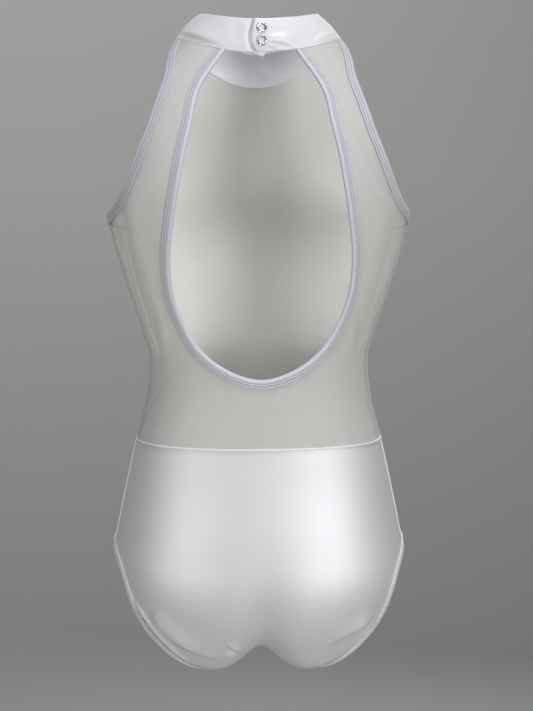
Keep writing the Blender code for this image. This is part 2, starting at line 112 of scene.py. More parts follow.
def smoothCurve(places, values, at):
    slopesAt = np.gradient(values, places)
    left = np.clip(np.searchsorted(places, at) - 1, 0, len(places) - 2)
    width = places[left + 1] - places[left]
    part = np.clip((at - places[left]) / width, 0.0, 1.0)
    start = (2 * part**3 - 3 * part**2 + 1) * values[left]
    end = (3 * part**2 - 2 * part**3) * values[left + 1]
    leave = (part**3 - 2 * part**2 + part) * width * slopesAt[left]
    arrive = (part**3 - part**2) * width * slopesAt[left + 1]
    return start + end + leave + arrive


def readTable(table, column, at):
    rows = sorted(table)
    places = np.array([row[0] for row in rows], float)
    values = np.array([getattr(row, column) for row in rows], float)
    return smoothCurve(places, values, at)


def easeIn(share):
    share = np.clip(share, 0.0, 1.0)
    return share**2 * (3 - 2 * share)


def neckDip(angle, level):
    low, high = bodyForm["underarmLevel"], bodyForm["footLevel"]
    deepest = np.where(np.cos(angle) > 0, bodyForm["neckDipBack"], bodyForm["neckDipFront"])
    return deepest * np.cos(angle) ** 2 * easeIn((level - low) / (high - low))


def surface(angle, level):
    angle, level = np.broadcast_arrays(np.asarray(angle, float), np.asarray(level, float))
    atBack = np.cos(angle) > 0
    # The cloth eases from the upright side into the turn under the seat, with no edge between them.
    below = bodyForm["hipLevel"] - level
    soft = np.sqrt(below**2 + bodyForm["hipEase"] ** 2)
    ring = bodyForm["hipLevel"] + 0.5 * (soft - below)
    turned = 0.5 * (soft + below) / bodyForm["turnRadius"]
    fromBack = np.degrees(np.where(atBack, turned, math.pi - turned))
    depth = np.where(atBack, readTable(sections, "back", ring), readTable(sections, "front", ring))
    depth = depth + readTable(turns, "depth", fromBack) - np.where(atBack, turns[0].depth, turns[-1].depth)
    spread = np.arcsin(np.clip(np.abs(np.sin(angle)), 0.0, 1.0))
    dip = 1 - np.exp(-((spread / bodyForm["seatDipAngle"]) ** 2))
    seat = dip * np.exp(-((spread / bodyForm["seatRoundAngle"]) ** 2))
    seatRound = readTable(turns, "round", fromBack)
    size = 1 + bodyForm["fullness"] * np.sin(2 * angle) ** 2 + seatRound * seat
    x = readTable(sections, "halfWidth", ring) * np.sin(angle) * size
    y = -depth * np.cos(angle) * np.cos(turned) * size
    z = ring - neckDip(angle, level) - depth * np.abs(np.cos(angle)) * np.sin(turned) * size
    return np.stack([x, y, z], axis=-1)


def points(place):
    return surface(place[..., 0], place[..., 1])


def slopes(place):
    angle, level = place[..., 0], place[..., 1]
    turn, rise = 1e-4, 1e-5
    byAngle = (surface(angle + turn, level) - surface(angle - turn, level)) / (2 * turn)
    byLevel = (surface(angle, level + rise) - surface(angle, level - rise)) / (2 * rise)
    return byAngle, byLevel


def unit(vectors):
    return vectors / np.linalg.norm(vectors, axis=-1, keepdims=True)


def normals(place):
    return unit(np.cross(*slopes(place)))


def placeOf(across, height, inFront=False):
    tried = np.linspace(0.0, math.pi / 2, 241)
    level = height
    for _ in range(8):
        angle = np.interp(across, surface(tried, level)[:, 0], tried)
        angle = math.pi - angle if inFront else angle
        level = height + float(neckDip(angle, level))
    return float(angle), level


def placeAtFoot(across, inFront=False):
    tried = np.linspace(0.0, math.pi / 2, 241)
    angle = np.interp(across, surface(tried, bodyForm["footLevel"])[:, 0], tried)
    return (math.pi - angle if inFront else angle), bodyForm["footLevel"] - cloth["gap"]


def runLengths(path):
    steps = np.linalg.norm(np.diff(points(path), axis=0), axis=1)
    return np.concatenate([[0.0], np.cumsum(steps)])


def atShares(path, shares):
    run = runLengths(path)
    return np.column_stack([np.interp(np.asarray(shares) * run[-1], run, path[:, i]) for i in (0, 1)])


def evenly(path, steps, start=0.0, end=1.0):
    return atShares(path, np.linspace(start, end, steps + 1))


def curveThrough(keys, count=500):
    keys = np.array(keys, float)
    run = runLengths(keys)
    fine = np.linspace(0.0, run[-1], count)
    return np.column_stack([smoothCurve(run, keys[:, i], fine) for i in (0, 1)])


def straight(start, end):
    return np.linspace(start, end, 60)


def nearestPlace(place, target):
    place = np.array(place, float)
    for _ in range(14):
        byAngle, byLevel = slopes(place)
        missing = target - points(place)
        aa, ll = (byAngle**2).sum(-1), (byLevel**2).sum(-1)
        al = (byAngle * byLevel).sum(-1)
        am, lm = (byAngle * missing).sum(-1), (byLevel * missing).sum(-1)
        area = aa * ll - al * al
        place += 0.8 * np.stack([(am * ll - lm * al) / area, (lm * aa - am * al) / area], axis=-1)
    return place


def inset(edge, width, side):
    here = points(edge)
    along = unit(np.gradient(here, axis=0))
    return nearestPlace(edge, here + np.cross(normals(edge), along) * side * width)


def between(first, second, shares):
    return np.array([atShares(straight(a, b), shares) for a, b in zip(first, second)])


def mirrored(grid, inFront=False):
    other = grid.copy()
    other[..., 0] = (2 * math.pi if inFront else 0.0) - other[..., 0]
    return other


# How far a place lies along the cloth from its centre line and from the neck, for weave and cut.
layAngles = np.linspace(0.0, math.pi, 121)
layLevels = np.linspace(0.010, -0.705, 180)
layPoints = surface(layAngles[:, None], layLevels[None, :])
layAcross = np.zeros(layPoints.shape[:2])
layAcross[1:] = np.cumsum(np.linalg.norm(np.diff(layPoints, axis=0), axis=-1), axis=0)
layDown = np.zeros(layPoints.shape[:2])
layDown[:, 1:] = np.cumsum(np.linalg.norm(np.diff(layPoints, axis=1), axis=-1), axis=1)


def readLay(lay, angle, level):
    i = np.clip(angle / math.pi * (len(layAngles) - 1), 0, len(layAngles) - 1.001)
    j = np.clip((layLevels[0] - level) / (layLevels[0] - layLevels[-1]), 0, 1) * (len(layLevels) - 1.001)
    a, b = i.astype(int), j.astype(int)
    s, t = i - a, j - b
    low = lay[a, b] * (1 - s) + lay[a + 1, b] * s
    high = lay[a, b + 1] * (1 - s) + lay[a + 1, b + 1] * s
    return low * (1 - t) + high * t


def clothLay(place, inFront):
    angle, level = place[..., 0], place[..., 1]
    folded = np.where(angle > math.pi, 2 * math.pi - angle, np.abs(angle))
    sign = np.where((angle > math.pi) | (angle < 0), -1.0, 1.0)
    across = readLay(layAcross, folded, level)
    if inFront:
        across = readLay(layAcross, np.full_like(folded, math.pi), level) - across
    return np.stack([across * sign, -readLay(layDown, folded, level)], axis=-1)


# Creases lie on the cloth as soft ridges with one gentle and one steep side, or as troughs where the
# height is negative. Places are pairs of degrees below the hip (angle, turn), else (angle, level).
Crease = namedtuple("Crease", "height gentle steep side places")


def creasePlaces(crease):
    rows = []
    for angle, down in crease.places:
        level = bodyForm["hipLevel"] - bodyForm["turnRadius"] * math.radians(down) if down > 0 else down
        rows.append((math.radians(angle), level))
    return curveThrough(rows, 36)


def relief(place, creases):
    flat = place.reshape(-1, 2)
    here, outward = points(flat), normals(flat)
    total = np.zeros(len(flat))
    for number, crease in enumerate(creases):
        line = points(creasePlaces(crease))
        widest = 3 * max(crease.gentle, crease.steep)
        near = np.all((here > line.min(0) - widest) & (here < line.max(0) + widest), axis=1)
        spots, facing = here[near], outward[near]
        if not len(spots):
            continue
        best = np.full(len(spots), 9.0)
        share, side = np.zeros(len(spots)), np.zeros(len(spots))
        for i in range(len(line) - 1):
            along = line[i + 1] - line[i]
            part = np.clip((spots - line[i]) @ along / (along @ along), 0, 1)
            away = spots - line[i] - part[:, None] * along
            far = np.linalg.norm(away, axis=1)
            closer = far < best
            best[closer] = far[closer]
            share[closer] = (i + part[closer]) / (len(line) - 1)
            turned = np.einsum("ij,ij->i", np.cross(along, away[closer]), facing[closer])
            side[closer] = np.sign(turned)
        width = np.where(side * crease.side > 0, crease.gentle, crease.steep)
        taper = np.sin(math.pi * np.clip(share, 0, 1)) ** 0.9
        uneven = 1 + 0.18 * np.sin(5.1 * share + 1.7 * number) + 0.10 * np.sin(13 * share + number)
        total[near] += crease.height * taper * uneven * np.exp(-((best / width) ** 2))
    return total.reshape(place.shape[:-1])


def lie(place, creases, lift):
    # Points on the cloth's outer face, moved out by its creases and by lift.
    return points(place) + normals(place) * (relief(place, creases) + lift)[..., None]


# Meshes
def finishMesh(name, vertices, faces, looks, faceLooks=None, uv=None, sharp=45, pressed=None):
    mesh = bpy.data.meshes.new(name)
    mesh.from_pydata(vertices, [], faces)
    if pressed is not None:
        # How deep each spot lies in a stitch groove; the cloth's material paints shade there by darkening its colour.
        depth = mesh.attributes.new("pressed", "FLOAT", "POINT")
        depth.data.foreach_set("value", np.asarray(pressed, np.float32).ravel())
    for look in looks:
        mesh.materials.append(look)
    if faceLooks is not None:
        mesh.polygons.foreach_set("material_index", np.asarray(faceLooks, np.int32))
    if uv is not None:
        layer = mesh.uv_layers.new(name="cloth")
        corners = np.empty(len(mesh.loops), np.int32)
        mesh.loops.foreach_get("vertex_index", corners)
        layer.data.foreach_set("uv", np.asarray(uv, np.float32)[corners].ravel())
    mesh.shade_smooth()
    mesh.set_sharp_from_angle(angle=math.radians(sharp))
    mesh.update()
    piece = bpy.data.objects.new(name, mesh)
    bpy.context.scene.collection.objects.link(piece)
    return piece


def faceOut(piece):
    built = bmesh.new()
    built.from_mesh(piece.data)
    bmesh.ops.recalc_face_normals(built, faces=built.faces)
    if built.calc_volume(signed=True) < 0:
        bmesh.ops.reverse_faces(built, faces=built.faces)
    built.to_mesh(piece.data)
    built.free()
    return piece


def clothShell(name, grids, creases, inFront, looks):
    # A closed wall over grids of places: outer face, inner face and rims.
    places = np.concatenate([grid.reshape(-1, 2) for grid in grids])
    keys, first, index = np.unique(np.round(places, 8), axis=0, return_index=True, return_inverse=True)
    index = index.reshape(-1)
    places = places[first]
    quads, start = [], 0
    outward = normals(places)
    base = points(places)
    for grid in grids:
        n, m = grid.shape[:2]
        ids = index[start : start + n * m].reshape(n, m)
        start += n * m
        made = np.stack([ids[:-1, :-1], ids[1:, :-1], ids[1:, 1:], ids[:-1, 1:]], axis=-1).reshape(-1, 4)
        spot = made[len(made) // 2]
        corners = base[spot]
        turned = np.cross(corners[2] - corners[0], corners[3] - corners[1]) @ outward[spot[0]]
        quads.append(made if turned > 0 else made[:, ::-1])
    quads = np.concatenate(quads)
    bumps = relief(places, creases)
    count = len(places)
    outer = base + outward * bumps[:, None]
    inner = base + outward * (bumps - cloth["panel"])[:, None]
    edges = np.concatenate([quads[:, [i, (i + 1) % 4]] for i in range(4)])
    codes = edges[:, 0] * count + edges[:, 1]
    back = edges[:, 1] * count + edges[:, 0]
    rim = edges[~np.isin(codes, back)]
    rims = np.stack([rim[:, 1], rim[:, 0], rim[:, 0] + count, rim[:, 1] + count], axis=-1)
    faces = np.concatenate([quads, quads[:, ::-1] + count, rims])
    kinds = np.concatenate([np.zeros(len(quads)), np.ones(len(quads)), np.zeros(len(rims))])
    lay = clothLay(places, inFront)
    vertices = np.concatenate([outer, inner])
    return finishMesh(name, vertices, faces.tolist(), looks, kinds, np.concatenate([lay, lay]))


def tubeThrough(name, rings, looks, closed=False, uv=None, sharp=50, pressed=None):
    rings = np.asarray(rings)
    count, corners = rings.shape[:2]
    i, j = np.meshgrid(np.arange(count if closed else count - 1), np.arange(corners), indexing="ij")
    k, nxt = (j + 1) % corners, (i + 1) % count
    quads = np.stack([i * corners + j, i * corners + k, nxt * corners + k, nxt * corners + j], axis=-1)
    faces = quads.reshape(-1, 4).tolist()
    if not closed:
        faces.append(list(range(corners)))
        faces.append(list(range((count - 1) * corners, count * corners)))
    uvRows = None if uv is None else np.asarray(uv).reshape(-1, 2)
    return faceOut(finishMesh(name, rings.reshape(-1, 3), faces, looks, None, uvRows, sharp, pressed))


# Materials: small helpers, then shader groups for what more than one cloth uses
def addNode(tree, kind, **values):
    node = tree.nodes.new(kind)
    for key, value in values.items():
        setattr(node, key, value)
    return node


def setInput(node, values):
    for key, value in values.items():
        node.inputs[key].default_value = value
    return node


def mathNode(tree, operation, first, second=None):
    node = addNode(tree, "ShaderNodeMath", operation=operation)
    for slot, value in enumerate((first, second)):
        if value is None:
            continue
        if isinstance(value, (int, float)):
            node.inputs[slot].default_value = value
        else:
            tree.links.new(value, node.inputs[slot])
    return node.outputs[0]


def newGroup(name, inputs, outputs):
    tree = bpy.data.node_groups.new(name, "ShaderNodeTree")
    for label, kind, value in inputs:
        socket = tree.interface.new_socket(name=label, in_out="INPUT", socket_type=kind)
        if value is not None:
            socket.default_value = value
    for label, kind in outputs:
        tree.interface.new_socket(name=label, in_out="OUTPUT", socket_type=kind)
    return tree, tree.nodes.new("NodeGroupInput"), tree.nodes.new("NodeGroupOutput")


def knitGroup():
    # Upright rows of stitches: Height rises on each stitch, Gap is 1 in the holes between them.
    inputs = (
        ("Cloth", "NodeSocketVector", None),
        ("Wale", "NodeSocketFloat", 0.001),
        ("Course", "NodeSocketFloat", 0.001),
    )
    tree, start, end = newGroup("stretch knit", inputs, (("Height", "NodeSocketFloat"), ("Gap", "NodeSocketFloat")))
    parts = addNode(tree, "ShaderNodeSeparateXYZ")
    tree.links.new(start.outputs["Cloth"], parts.inputs[0])
    across = mathNode(tree, "DIVIDE", parts.outputs["X"], start.outputs["Wale"])
    down = mathNode(tree, "DIVIDE", parts.outputs["Y"], start.outputs["Course"])
    acrossWave = mathNode(tree, "ABSOLUTE", mathNode(tree, "SINE", mathNode(tree, "MULTIPLY", across, math.pi)))
    leg = mathNode(tree, "MULTIPLY", mathNode(tree, "PINGPONG", across, 0.5), 1.0)
    slanted = mathNode(tree, "MULTIPLY", mathNode(tree, "ADD", down, leg), math.pi)
    downWave = mathNode(tree, "ABSOLUTE", mathNode(tree, "SINE", slanted))
    height = mathNode(tree, "MULTIPLY", mathNode(tree, "POWER", acrossWave, 0.6), mathNode(tree, "POWER", downWave, 0.5))
    hole = mathNode(tree, "MULTIPLY", mathNode(tree, "SUBTRACT", 0.62, height), 4.0)
    tree.links.new(height, end.inputs["Height"])
    tree.links.new(mathNode(tree, "MINIMUM", mathNode(tree, "MAXIMUM", hole, 0.0), 1.0), end.inputs["Gap"])
    return tree


def ageGroup():
    # Soft unevenness of dye and handling: Tone is near 1, Rough adds a little to the roughness.
    inputs = (("Place", "NodeSocketVector", None), ("Amount", "NodeSocketFloat", 0.04))
    tree, start, end = newGroup("soft unevenness", inputs, (("Tone", "NodeSocketFloat"), ("Rough", "NodeSocketFloat")))
    broad = setInput(addNode(tree, "ShaderNodeTexNoise"), {"Scale": 9.0, "Detail": 3.0, "Roughness": 0.5})
    fine = setInput(addNode(tree, "ShaderNodeTexNoise"), {"Scale": 160.0, "Detail": 2.0, "Roughness": 0.6})
    for noise in (broad, fine):
        tree.links.new(start.outputs["Place"], noise.inputs["Vector"])
    mixed = mathNode(tree, "ADD", mathNode(tree, "MULTIPLY", broad.outputs["Fac"], 0.7),
                     mathNode(tree, "MULTIPLY", fine.outputs["Fac"], 0.3))
    centred = mathNode(tree, "MULTIPLY", mathNode(tree, "SUBTRACT", mixed, 0.5), 2.0)
    tone = mathNode(tree, "ADD", 1.0, mathNode(tree, "MULTIPLY", centred, start.outputs["Amount"]))
    tree.links.new(tone, end.inputs["Tone"])
    tree.links.new(mathNode(tree, "MULTIPLY", centred, start.outputs["Amount"]), end.inputs["Rough"])
    return tree


stretchKnit = knitGroup()
softUnevenness = ageGroup()


def clothMaterial(name, look):
    # Cloth with knit height from its own map, uneven tone, painted shade in the knit's valleys and in stitch grooves,
    # and holes where the look has them.
    made = bpy.data.materials.new(name)
    made.use_nodes = True
    tree = made.node_tree
    shader = tree.nodes["Principled BSDF"]
    lay = addNode(tree, "ShaderNodeUVMap", uv_map="cloth")
    where = addNode(tree, "ShaderNodeTexCoord")
    knit = addNode(tree, "ShaderNodeGroup", node_tree=stretchKnit)
    setInput(knit, {"Wale": look["wale"], "Course": look["course"]})
    tree.links.new(lay.outputs["UV"], knit.inputs["Cloth"])
    age = addNode(tree, "ShaderNodeGroup", node_tree=softUnevenness)
    age.inputs["Amount"].default_value = look["uneven"]
    tree.links.new(where.outputs["Object"], age.inputs["Place"])
    # Painted shade: the knit's valleys take a darker colour than its raised stitches.
    colour = addNode(tree, "ShaderNodeMix", data_type="RGBA")
    colour.inputs["A"].default_value = (*look["paintedValleyShade"], 1)
    colour.inputs["B"].default_value = (*look["colour"], 1)
    tree.links.new(knit.outputs["Height"], colour.inputs["Factor"])
    toned = addNode(tree, "ShaderNodeVectorMath", operation="SCALE")
    tree.links.new(colour.outputs["Result"], toned.inputs[0])
    # Painted shade: the colour darkens in stitch grooves, by the groove depth that the strips carry.
    pressed = addNode(tree, "ShaderNodeAttribute", attribute_name="pressed")
    paintedGrooveShade = mathNode(tree, "SUBTRACT", 1.0, mathNode(tree, "MULTIPLY", pressed.outputs["Fac"], look["paintedGrooveShade"]))
    tree.links.new(mathNode(tree, "MULTIPLY", age.outputs["Tone"], paintedGrooveShade), toned.inputs["Scale"])
    tree.links.new(toned.outputs[0], shader.inputs["Base Color"])
    rough = mathNode(tree, "ADD", age.outputs["Rough"], look["roughness"])
    tree.links.new(rough, shader.inputs["Roughness"])
    bump = setInput(addNode(tree, "ShaderNodeBump"), {"Strength": look["bump"], "Distance": look["depth"]})
    tree.links.new(knit.outputs["Height"], bump.inputs["Height"])
    tree.links.new(bump.outputs["Normal"], shader.inputs["Normal"])
    if look.get("open"):
        gap = mathNode(tree, "MULTIPLY", knit.outputs["Gap"], look["open"])
        tree.links.new(mathNode(tree, "SUBTRACT", 1.0, gap), shader.inputs["Alpha"])
    setInput(shader, {"Sheen Weight": look["sheen"], "Sheen Roughness": 0.45, "Specular IOR Level": look["gloss"],
                      "Metallic": look["lustre"]})
    return made


# "lustre" is how much of the cloth's light comes off its bright yarn. The valley colour and the groove shade are
# painted shade: darker colour in the knit's valleys and in stitch grooves.
looks = {
    "satin": {
        "colour": (0.82, 0.83, 0.85), "paintedValleyShade": (0.74, 0.74, 0.76), "roughness": 0.56, "uneven": 0.03,
        "wale": 0.00045, "course": 0.00040, "bump": 0.25, "depth": 0.00008, "sheen": 0.0, "gloss": 0.5,
        "lustre": 0.46, "paintedGrooveShade": 0.45,
    },
    "reverse": {
        "colour": (0.88, 0.88, 0.85), "paintedValleyShade": (0.78, 0.78, 0.75), "roughness": 0.85, "uneven": 0.05,
        "wale": 0.00060, "course": 0.00050, "bump": 0.5, "depth": 0.00015, "sheen": 0.20, "gloss": 0.2,
        "lustre": 0.0, "paintedGrooveShade": 0.3,
    },
    "mesh": {
        "colour": (0.74, 0.74, 0.72), "paintedValleyShade": (0.60, 0.60, 0.58), "roughness": 0.62, "uneven": 0.03,
        "wale": 0.00110, "course": 0.00130, "bump": 0.5, "depth": 0.00020, "sheen": 0.10, "gloss": 0.35,
        "lustre": 0.0, "paintedGrooveShade": 0.3, "open": 0.85,
    },
    "collar": {
        "colour": (0.88, 0.88, 0.92), "paintedValleyShade": (0.80, 0.79, 0.85), "roughness": 0.50, "uneven": 0.03,
        "wale": 0.00050, "course": 0.00045, "bump": 0.3, "depth": 0.00010, "sheen": 0.10, "gloss": 0.5,
        "lustre": 0.10, "paintedGrooveShade": 0.5,
    },
    "binding": {
        "colour": (0.74, 0.73, 0.81), "paintedValleyShade": (0.60, 0.59, 0.68), "roughness": 0.55, "uneven": 0.04,
        "wale": 0.00120, "course": 0.00060, "bump": 0.6, "depth": 0.00020, "sheen": 0.10, "gloss": 0.45,
        "lustre": 0.12, "paintedGrooveShade": 0.62,
    },
    "thread": {
        "colour": (0.86, 0.85, 0.92), "paintedValleyShade": (0.72, 0.71, 0.78), "roughness": 0.50, "uneven": 0.04,
        "wale": 0.00030, "course": 0.00030, "bump": 0.2, "depth": 0.00005, "sheen": 0.10, "gloss": 0.5,
        "lustre": 0.10, "paintedGrooveShade": 0.0,
    },
}
satin = clothMaterial("satin spandex", looks["satin"])
reverse = clothMaterial("satin spandex reverse", looks["reverse"])
powerMesh = clothMaterial("power mesh", looks["mesh"])
collarCloth = clothMaterial("collar spandex", looks["collar"])
bindingCloth = clothMaterial("fold binding", looks["binding"])
thread = clothMaterial("sewing thread", looks["thread"])


def metalMaterial():
    made = bpy.data.materials.new("bright snap metal")
    made.use_nodes = True
    tree = made.node_tree
    shader = tree.nodes["Principled BSDF"]
    where = addNode(tree, "ShaderNodeTexCoord")
    scuffs = setInput(addNode(tree, "ShaderNodeTexNoise"), {"Scale": 700.0, "Detail": 4.0, "Roughness": 0.6})
    tree.links.new(where.outputs["Object"], scuffs.inputs["Vector"])
    rough = mathNode(tree, "ADD", mathNode(tree, "MULTIPLY", scuffs.outputs["Fac"], 0.14), 0.13)
    tree.links.new(rough, shader.inputs["Roughness"])
    colour = addNode(tree, "ShaderNodeMix", data_type="RGBA")
    colour.inputs["A"].default_value = (0.62, 0.62, 0.63, 1)
    colour.inputs["B"].default_value = (0.86, 0.86, 0.87, 1)
    tree.links.new(scuffs.outputs["Fac"], colour.inputs["Factor"])
    tree.links.new(colour.outputs["Result"], shader.inputs["Base Color"])
    shader.inputs["Metallic"].default_value = 1.0
    return made


snapMetal = metalMaterial()
print("materials made")


# Sewing: stitches and corded seams follow a path by Geometry Nodes
def pathObject(name, rows, lays, closed=False):
    # A line of points, each with the direction that its stitch lies in.
    count = len(rows)
    ends = [(i, i + 1) for i in range(count - 1)] + ([(count - 1, 0)] if closed else [])
    mesh = bpy.data.meshes.new(name)
    mesh.from_pydata(rows, ends, [])
    lay = mesh.attributes.new("lay", "FLOAT_VECTOR", "POINT")
    lay.data.foreach_set("vector", np.asarray(lays, np.float32).ravel())
    path = bpy.data.objects.new(name, mesh)
    bpy.context.scene.collection.objects.link(path)
    return path


def newTree(name, inputs):
    tree = bpy.data.node_groups.new(name, "GeometryNodeTree")
    tree.interface.new_socket(name="Path", in_out="INPUT", socket_type="NodeSocketGeometry")
    for label, kind in inputs:
        tree.interface.new_socket(name=label, in_out="INPUT", socket_type=kind)
    tree.interface.new_socket(name="Made", in_out="OUTPUT", socket_type="NodeSocketGeometry")
    return tree, tree.nodes.new("NodeGroupInput"), tree.nodes.new("NodeGroupOutput")


def stitchTree():
    inputs = (("Pitch", "NodeSocketFloat"), ("Length", "NodeSocketFloat"), ("Radius", "NodeSocketFloat"),
              ("Look", "NodeSocketMaterial"))
    tree, start, end = newTree("row of stitches", inputs)
    curve = addNode(tree, "GeometryNodeMeshToCurve")
    spaced = addNode(tree, "GeometryNodeResampleCurve", mode="LENGTH")
    ball = setInput(addNode(tree, "GeometryNodeMeshUVSphere"), {"Segments": 6, "Rings": 4, "Radius": 1.0})
    half = addNode(tree, "ShaderNodeMath", operation="MULTIPLY")
    half.inputs[1].default_value = 0.5
    size = addNode(tree, "ShaderNodeCombineXYZ")
    shaped = addNode(tree, "GeometryNodeTransform")
    lay = addNode(tree, "GeometryNodeInputNamedAttribute", data_type="FLOAT_VECTOR")
    lay.inputs["Name"].default_value = "lay"
    turned = addNode(tree, "FunctionNodeAlignRotationToVector", axis="Z")
    placed = addNode(tree, "GeometryNodeInstanceOnPoints")
    real = addNode(tree, "GeometryNodeRealizeInstances")
    look = addNode(tree, "GeometryNodeSetMaterial")
    link = tree.links.new
    link(start.outputs["Path"], curve.inputs["Mesh"])
    link(curve.outputs["Curve"], spaced.inputs["Curve"])
    link(start.outputs["Pitch"], spaced.inputs["Length"])
    link(start.outputs["Length"], half.inputs[0])
    link(start.outputs["Radius"], size.inputs["X"])
    link(start.outputs["Radius"], size.inputs["Y"])
    link(half.outputs[0], size.inputs["Z"])
    link(ball.outputs["Mesh"], shaped.inputs["Geometry"])
    link(size.outputs[0], shaped.inputs["Scale"])
    link(lay.outputs["Attribute"], turned.inputs["Vector"])
    link(spaced.outputs["Curve"], placed.inputs["Points"])
    link(shaped.outputs["Geometry"], placed.inputs["Instance"])
    link(turned.outputs["Rotation"], placed.inputs["Rotation"])
    link(placed.outputs["Instances"], real.inputs["Geometry"])
    link(real.outputs["Geometry"], look.inputs["Geometry"])
    link(start.outputs["Look"], look.inputs["Material"])
    link(look.outputs["Geometry"], end.inputs["Made"])
    return tree


def seamTree():
    inputs = (("Step", "NodeSocketFloat"), ("Radius", "NodeSocketFloat"), ("Look", "NodeSocketMaterial"))
    tree, start, end = newTree("corded seam", inputs)
    curve = addNode(tree, "GeometryNodeMeshToCurve")
    spaced = addNode(tree, "GeometryNodeResampleCurve", mode="LENGTH")
    profile = setInput(addNode(tree, "GeometryNodeCurvePrimitiveCircle"), {"Resolution": 10})
    tube = addNode(tree, "GeometryNodeCurveToMesh")
    tube.inputs["Fill Caps"].default_value = True
    smooth = addNode(tree, "GeometryNodeSetShadeSmooth")
    real = addNode(tree, "GeometryNodeRealizeInstances")
    look = addNode(tree, "GeometryNodeSetMaterial")
    link = tree.links.new
    link(start.outputs["Path"], curve.inputs["Mesh"])
    link(curve.outputs["Curve"], spaced.inputs["Curve"])
    link(start.outputs["Step"], spaced.inputs["Length"])
    link(start.outputs["Radius"], profile.inputs["Radius"])
    link(spaced.outputs["Curve"], tube.inputs["Curve"])
    link(profile.outputs["Curve"], tube.inputs["Profile Curve"])
    link(tube.outputs["Mesh"], smooth.inputs["Geometry"])
    link(smooth.outputs["Geometry"], real.inputs["Geometry"])
    link(real.outputs["Geometry"], look.inputs["Geometry"])
    link(start.outputs["Look"], look.inputs["Material"])
    link(look.outputs["Geometry"], end.inputs["Made"])
    return tree


stitchRow = stitchTree()
cordedSeam = seamTree()


def grown(path, tree, values):
    # The plain mesh that the tree makes along this path.
    maker = path.modifiers.new("maker", "NODES")
    maker.node_group = tree
    for item in tree.interface.items_tree:
        if item.in_out == "INPUT" and item.name in values:
            maker[item.identifier] = values[item.name]
    bpy.context.view_layer.update()
    made = bpy.data.meshes.new_from_object(path.evaluated_get(bpy.context.evaluated_depsgraph_get()))
    name, old = path.name, path.data
    path.modifiers.remove(maker)
    bpy.data.objects.remove(path)
    bpy.data.meshes.remove(old)
    made.name = name
    return made


def joined(name, meshes):
    # One object from several plain meshes, with a flat map so that thread has a weave to read.
    built = bmesh.new()
    for mesh in meshes:
        built.from_mesh(mesh)
    whole = bpy.data.meshes.new(name)
    built.to_mesh(whole)
    built.free()
    whole.materials.append(meshes[0].materials[0])
    for mesh in meshes:
        bpy.data.meshes.remove(mesh)
    for layer in list(whole.uv_layers):
        whole.uv_layers.remove(layer)
    layer = whole.uv_layers.new(name="cloth")
    corners = np.empty(len(whole.loops), np.int32)
    whole.loops.foreach_get("vertex_index", corners)
    places = np.empty(len(whole.vertices) * 3, np.float32)
    whole.vertices.foreach_get("co", places)
    places = places.reshape(-1, 3)
    layer.data.foreach_set("uv", (places[:, [0, 2]] + places[:, [1, 1]])[corners].ravel())
    whole.shade_smooth()
    piece = bpy.data.objects.new(name, whole)
    bpy.context.scene.collection.objects.link(piece)
    return piece


def stitchMesh(name, rows, lays, pitch, length, radius, closed=False):
    values = {"Pitch": pitch, "Length": length, "Radius": radius, "Look": thread}
    return grown(pathObject(name, rows, lays, closed), stitchRow, values)


def seamMesh(name, rows, step, radius, look, closed=False):
    values = {"Step": step, "Radius": radius, "Look": look}
    return grown(pathObject(name, rows, np.zeros_like(rows), closed), cordedSeam, values)


def alongPath(rows, closed=False):
    ahead = np.roll(rows, -1, axis=0) if closed else np.concatenate([rows[1:], rows[-1:]])
    behind = np.roll(rows, 1, axis=0) if closed else np.concatenate([rows[:1], rows[:-1]])
    return unit(ahead - behind)


def settle(piece, node):
    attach(piece, "root")
    if node:
        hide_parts(node)
    return piece


# Panels
yoke = {
    "armholeSteps": 84,
    "sideSteps": 60,
    "footSteps": 54,
    "across": 40,
    "keyholeBinding": 0.0076,
    "armholeBinding": 0.0090,
    "sideStep": 0.0100,
    "allowanceWidth": 0.0060,
    "keyholeAtUnderarm": 0.50,
    "keyholeAtWaistCorner": 0.80,
    "keyholeTopAcross": 0.0365,
    "keyholeBottom": -0.3385,
    "armholeBackAcross": 0.0825,
    "armholeFrontAcross": 0.0800,
    "underarmCurveAngle": math.radians(79),
    "underarmCurveLevel": -0.1720,
}

Edge = namedtuple("Edge", "height across")
keyholeRows = (
    Edge(-0.040, 0.0578), Edge(-0.079, 0.0692), Edge(-0.130, 0.0804), Edge(-0.180, 0.0886),
    Edge(-0.216, 0.0920), Edge(-0.249, 0.0896), Edge(-0.278, 0.0802), Edge(-0.308, 0.0620),
    Edge(-0.328, 0.0358),
)
armholeBackRows = (
    Edge(-0.040, 0.0965), Edge(-0.079, 0.1100), Edge(-0.125, 0.1285), Edge(-0.156, 0.1425),
)
armholeFrontRows = (
    Edge(-0.040, 0.0880), Edge(-0.079, 0.0990), Edge(-0.125, 0.1195), Edge(-0.156, 0.1390),
)

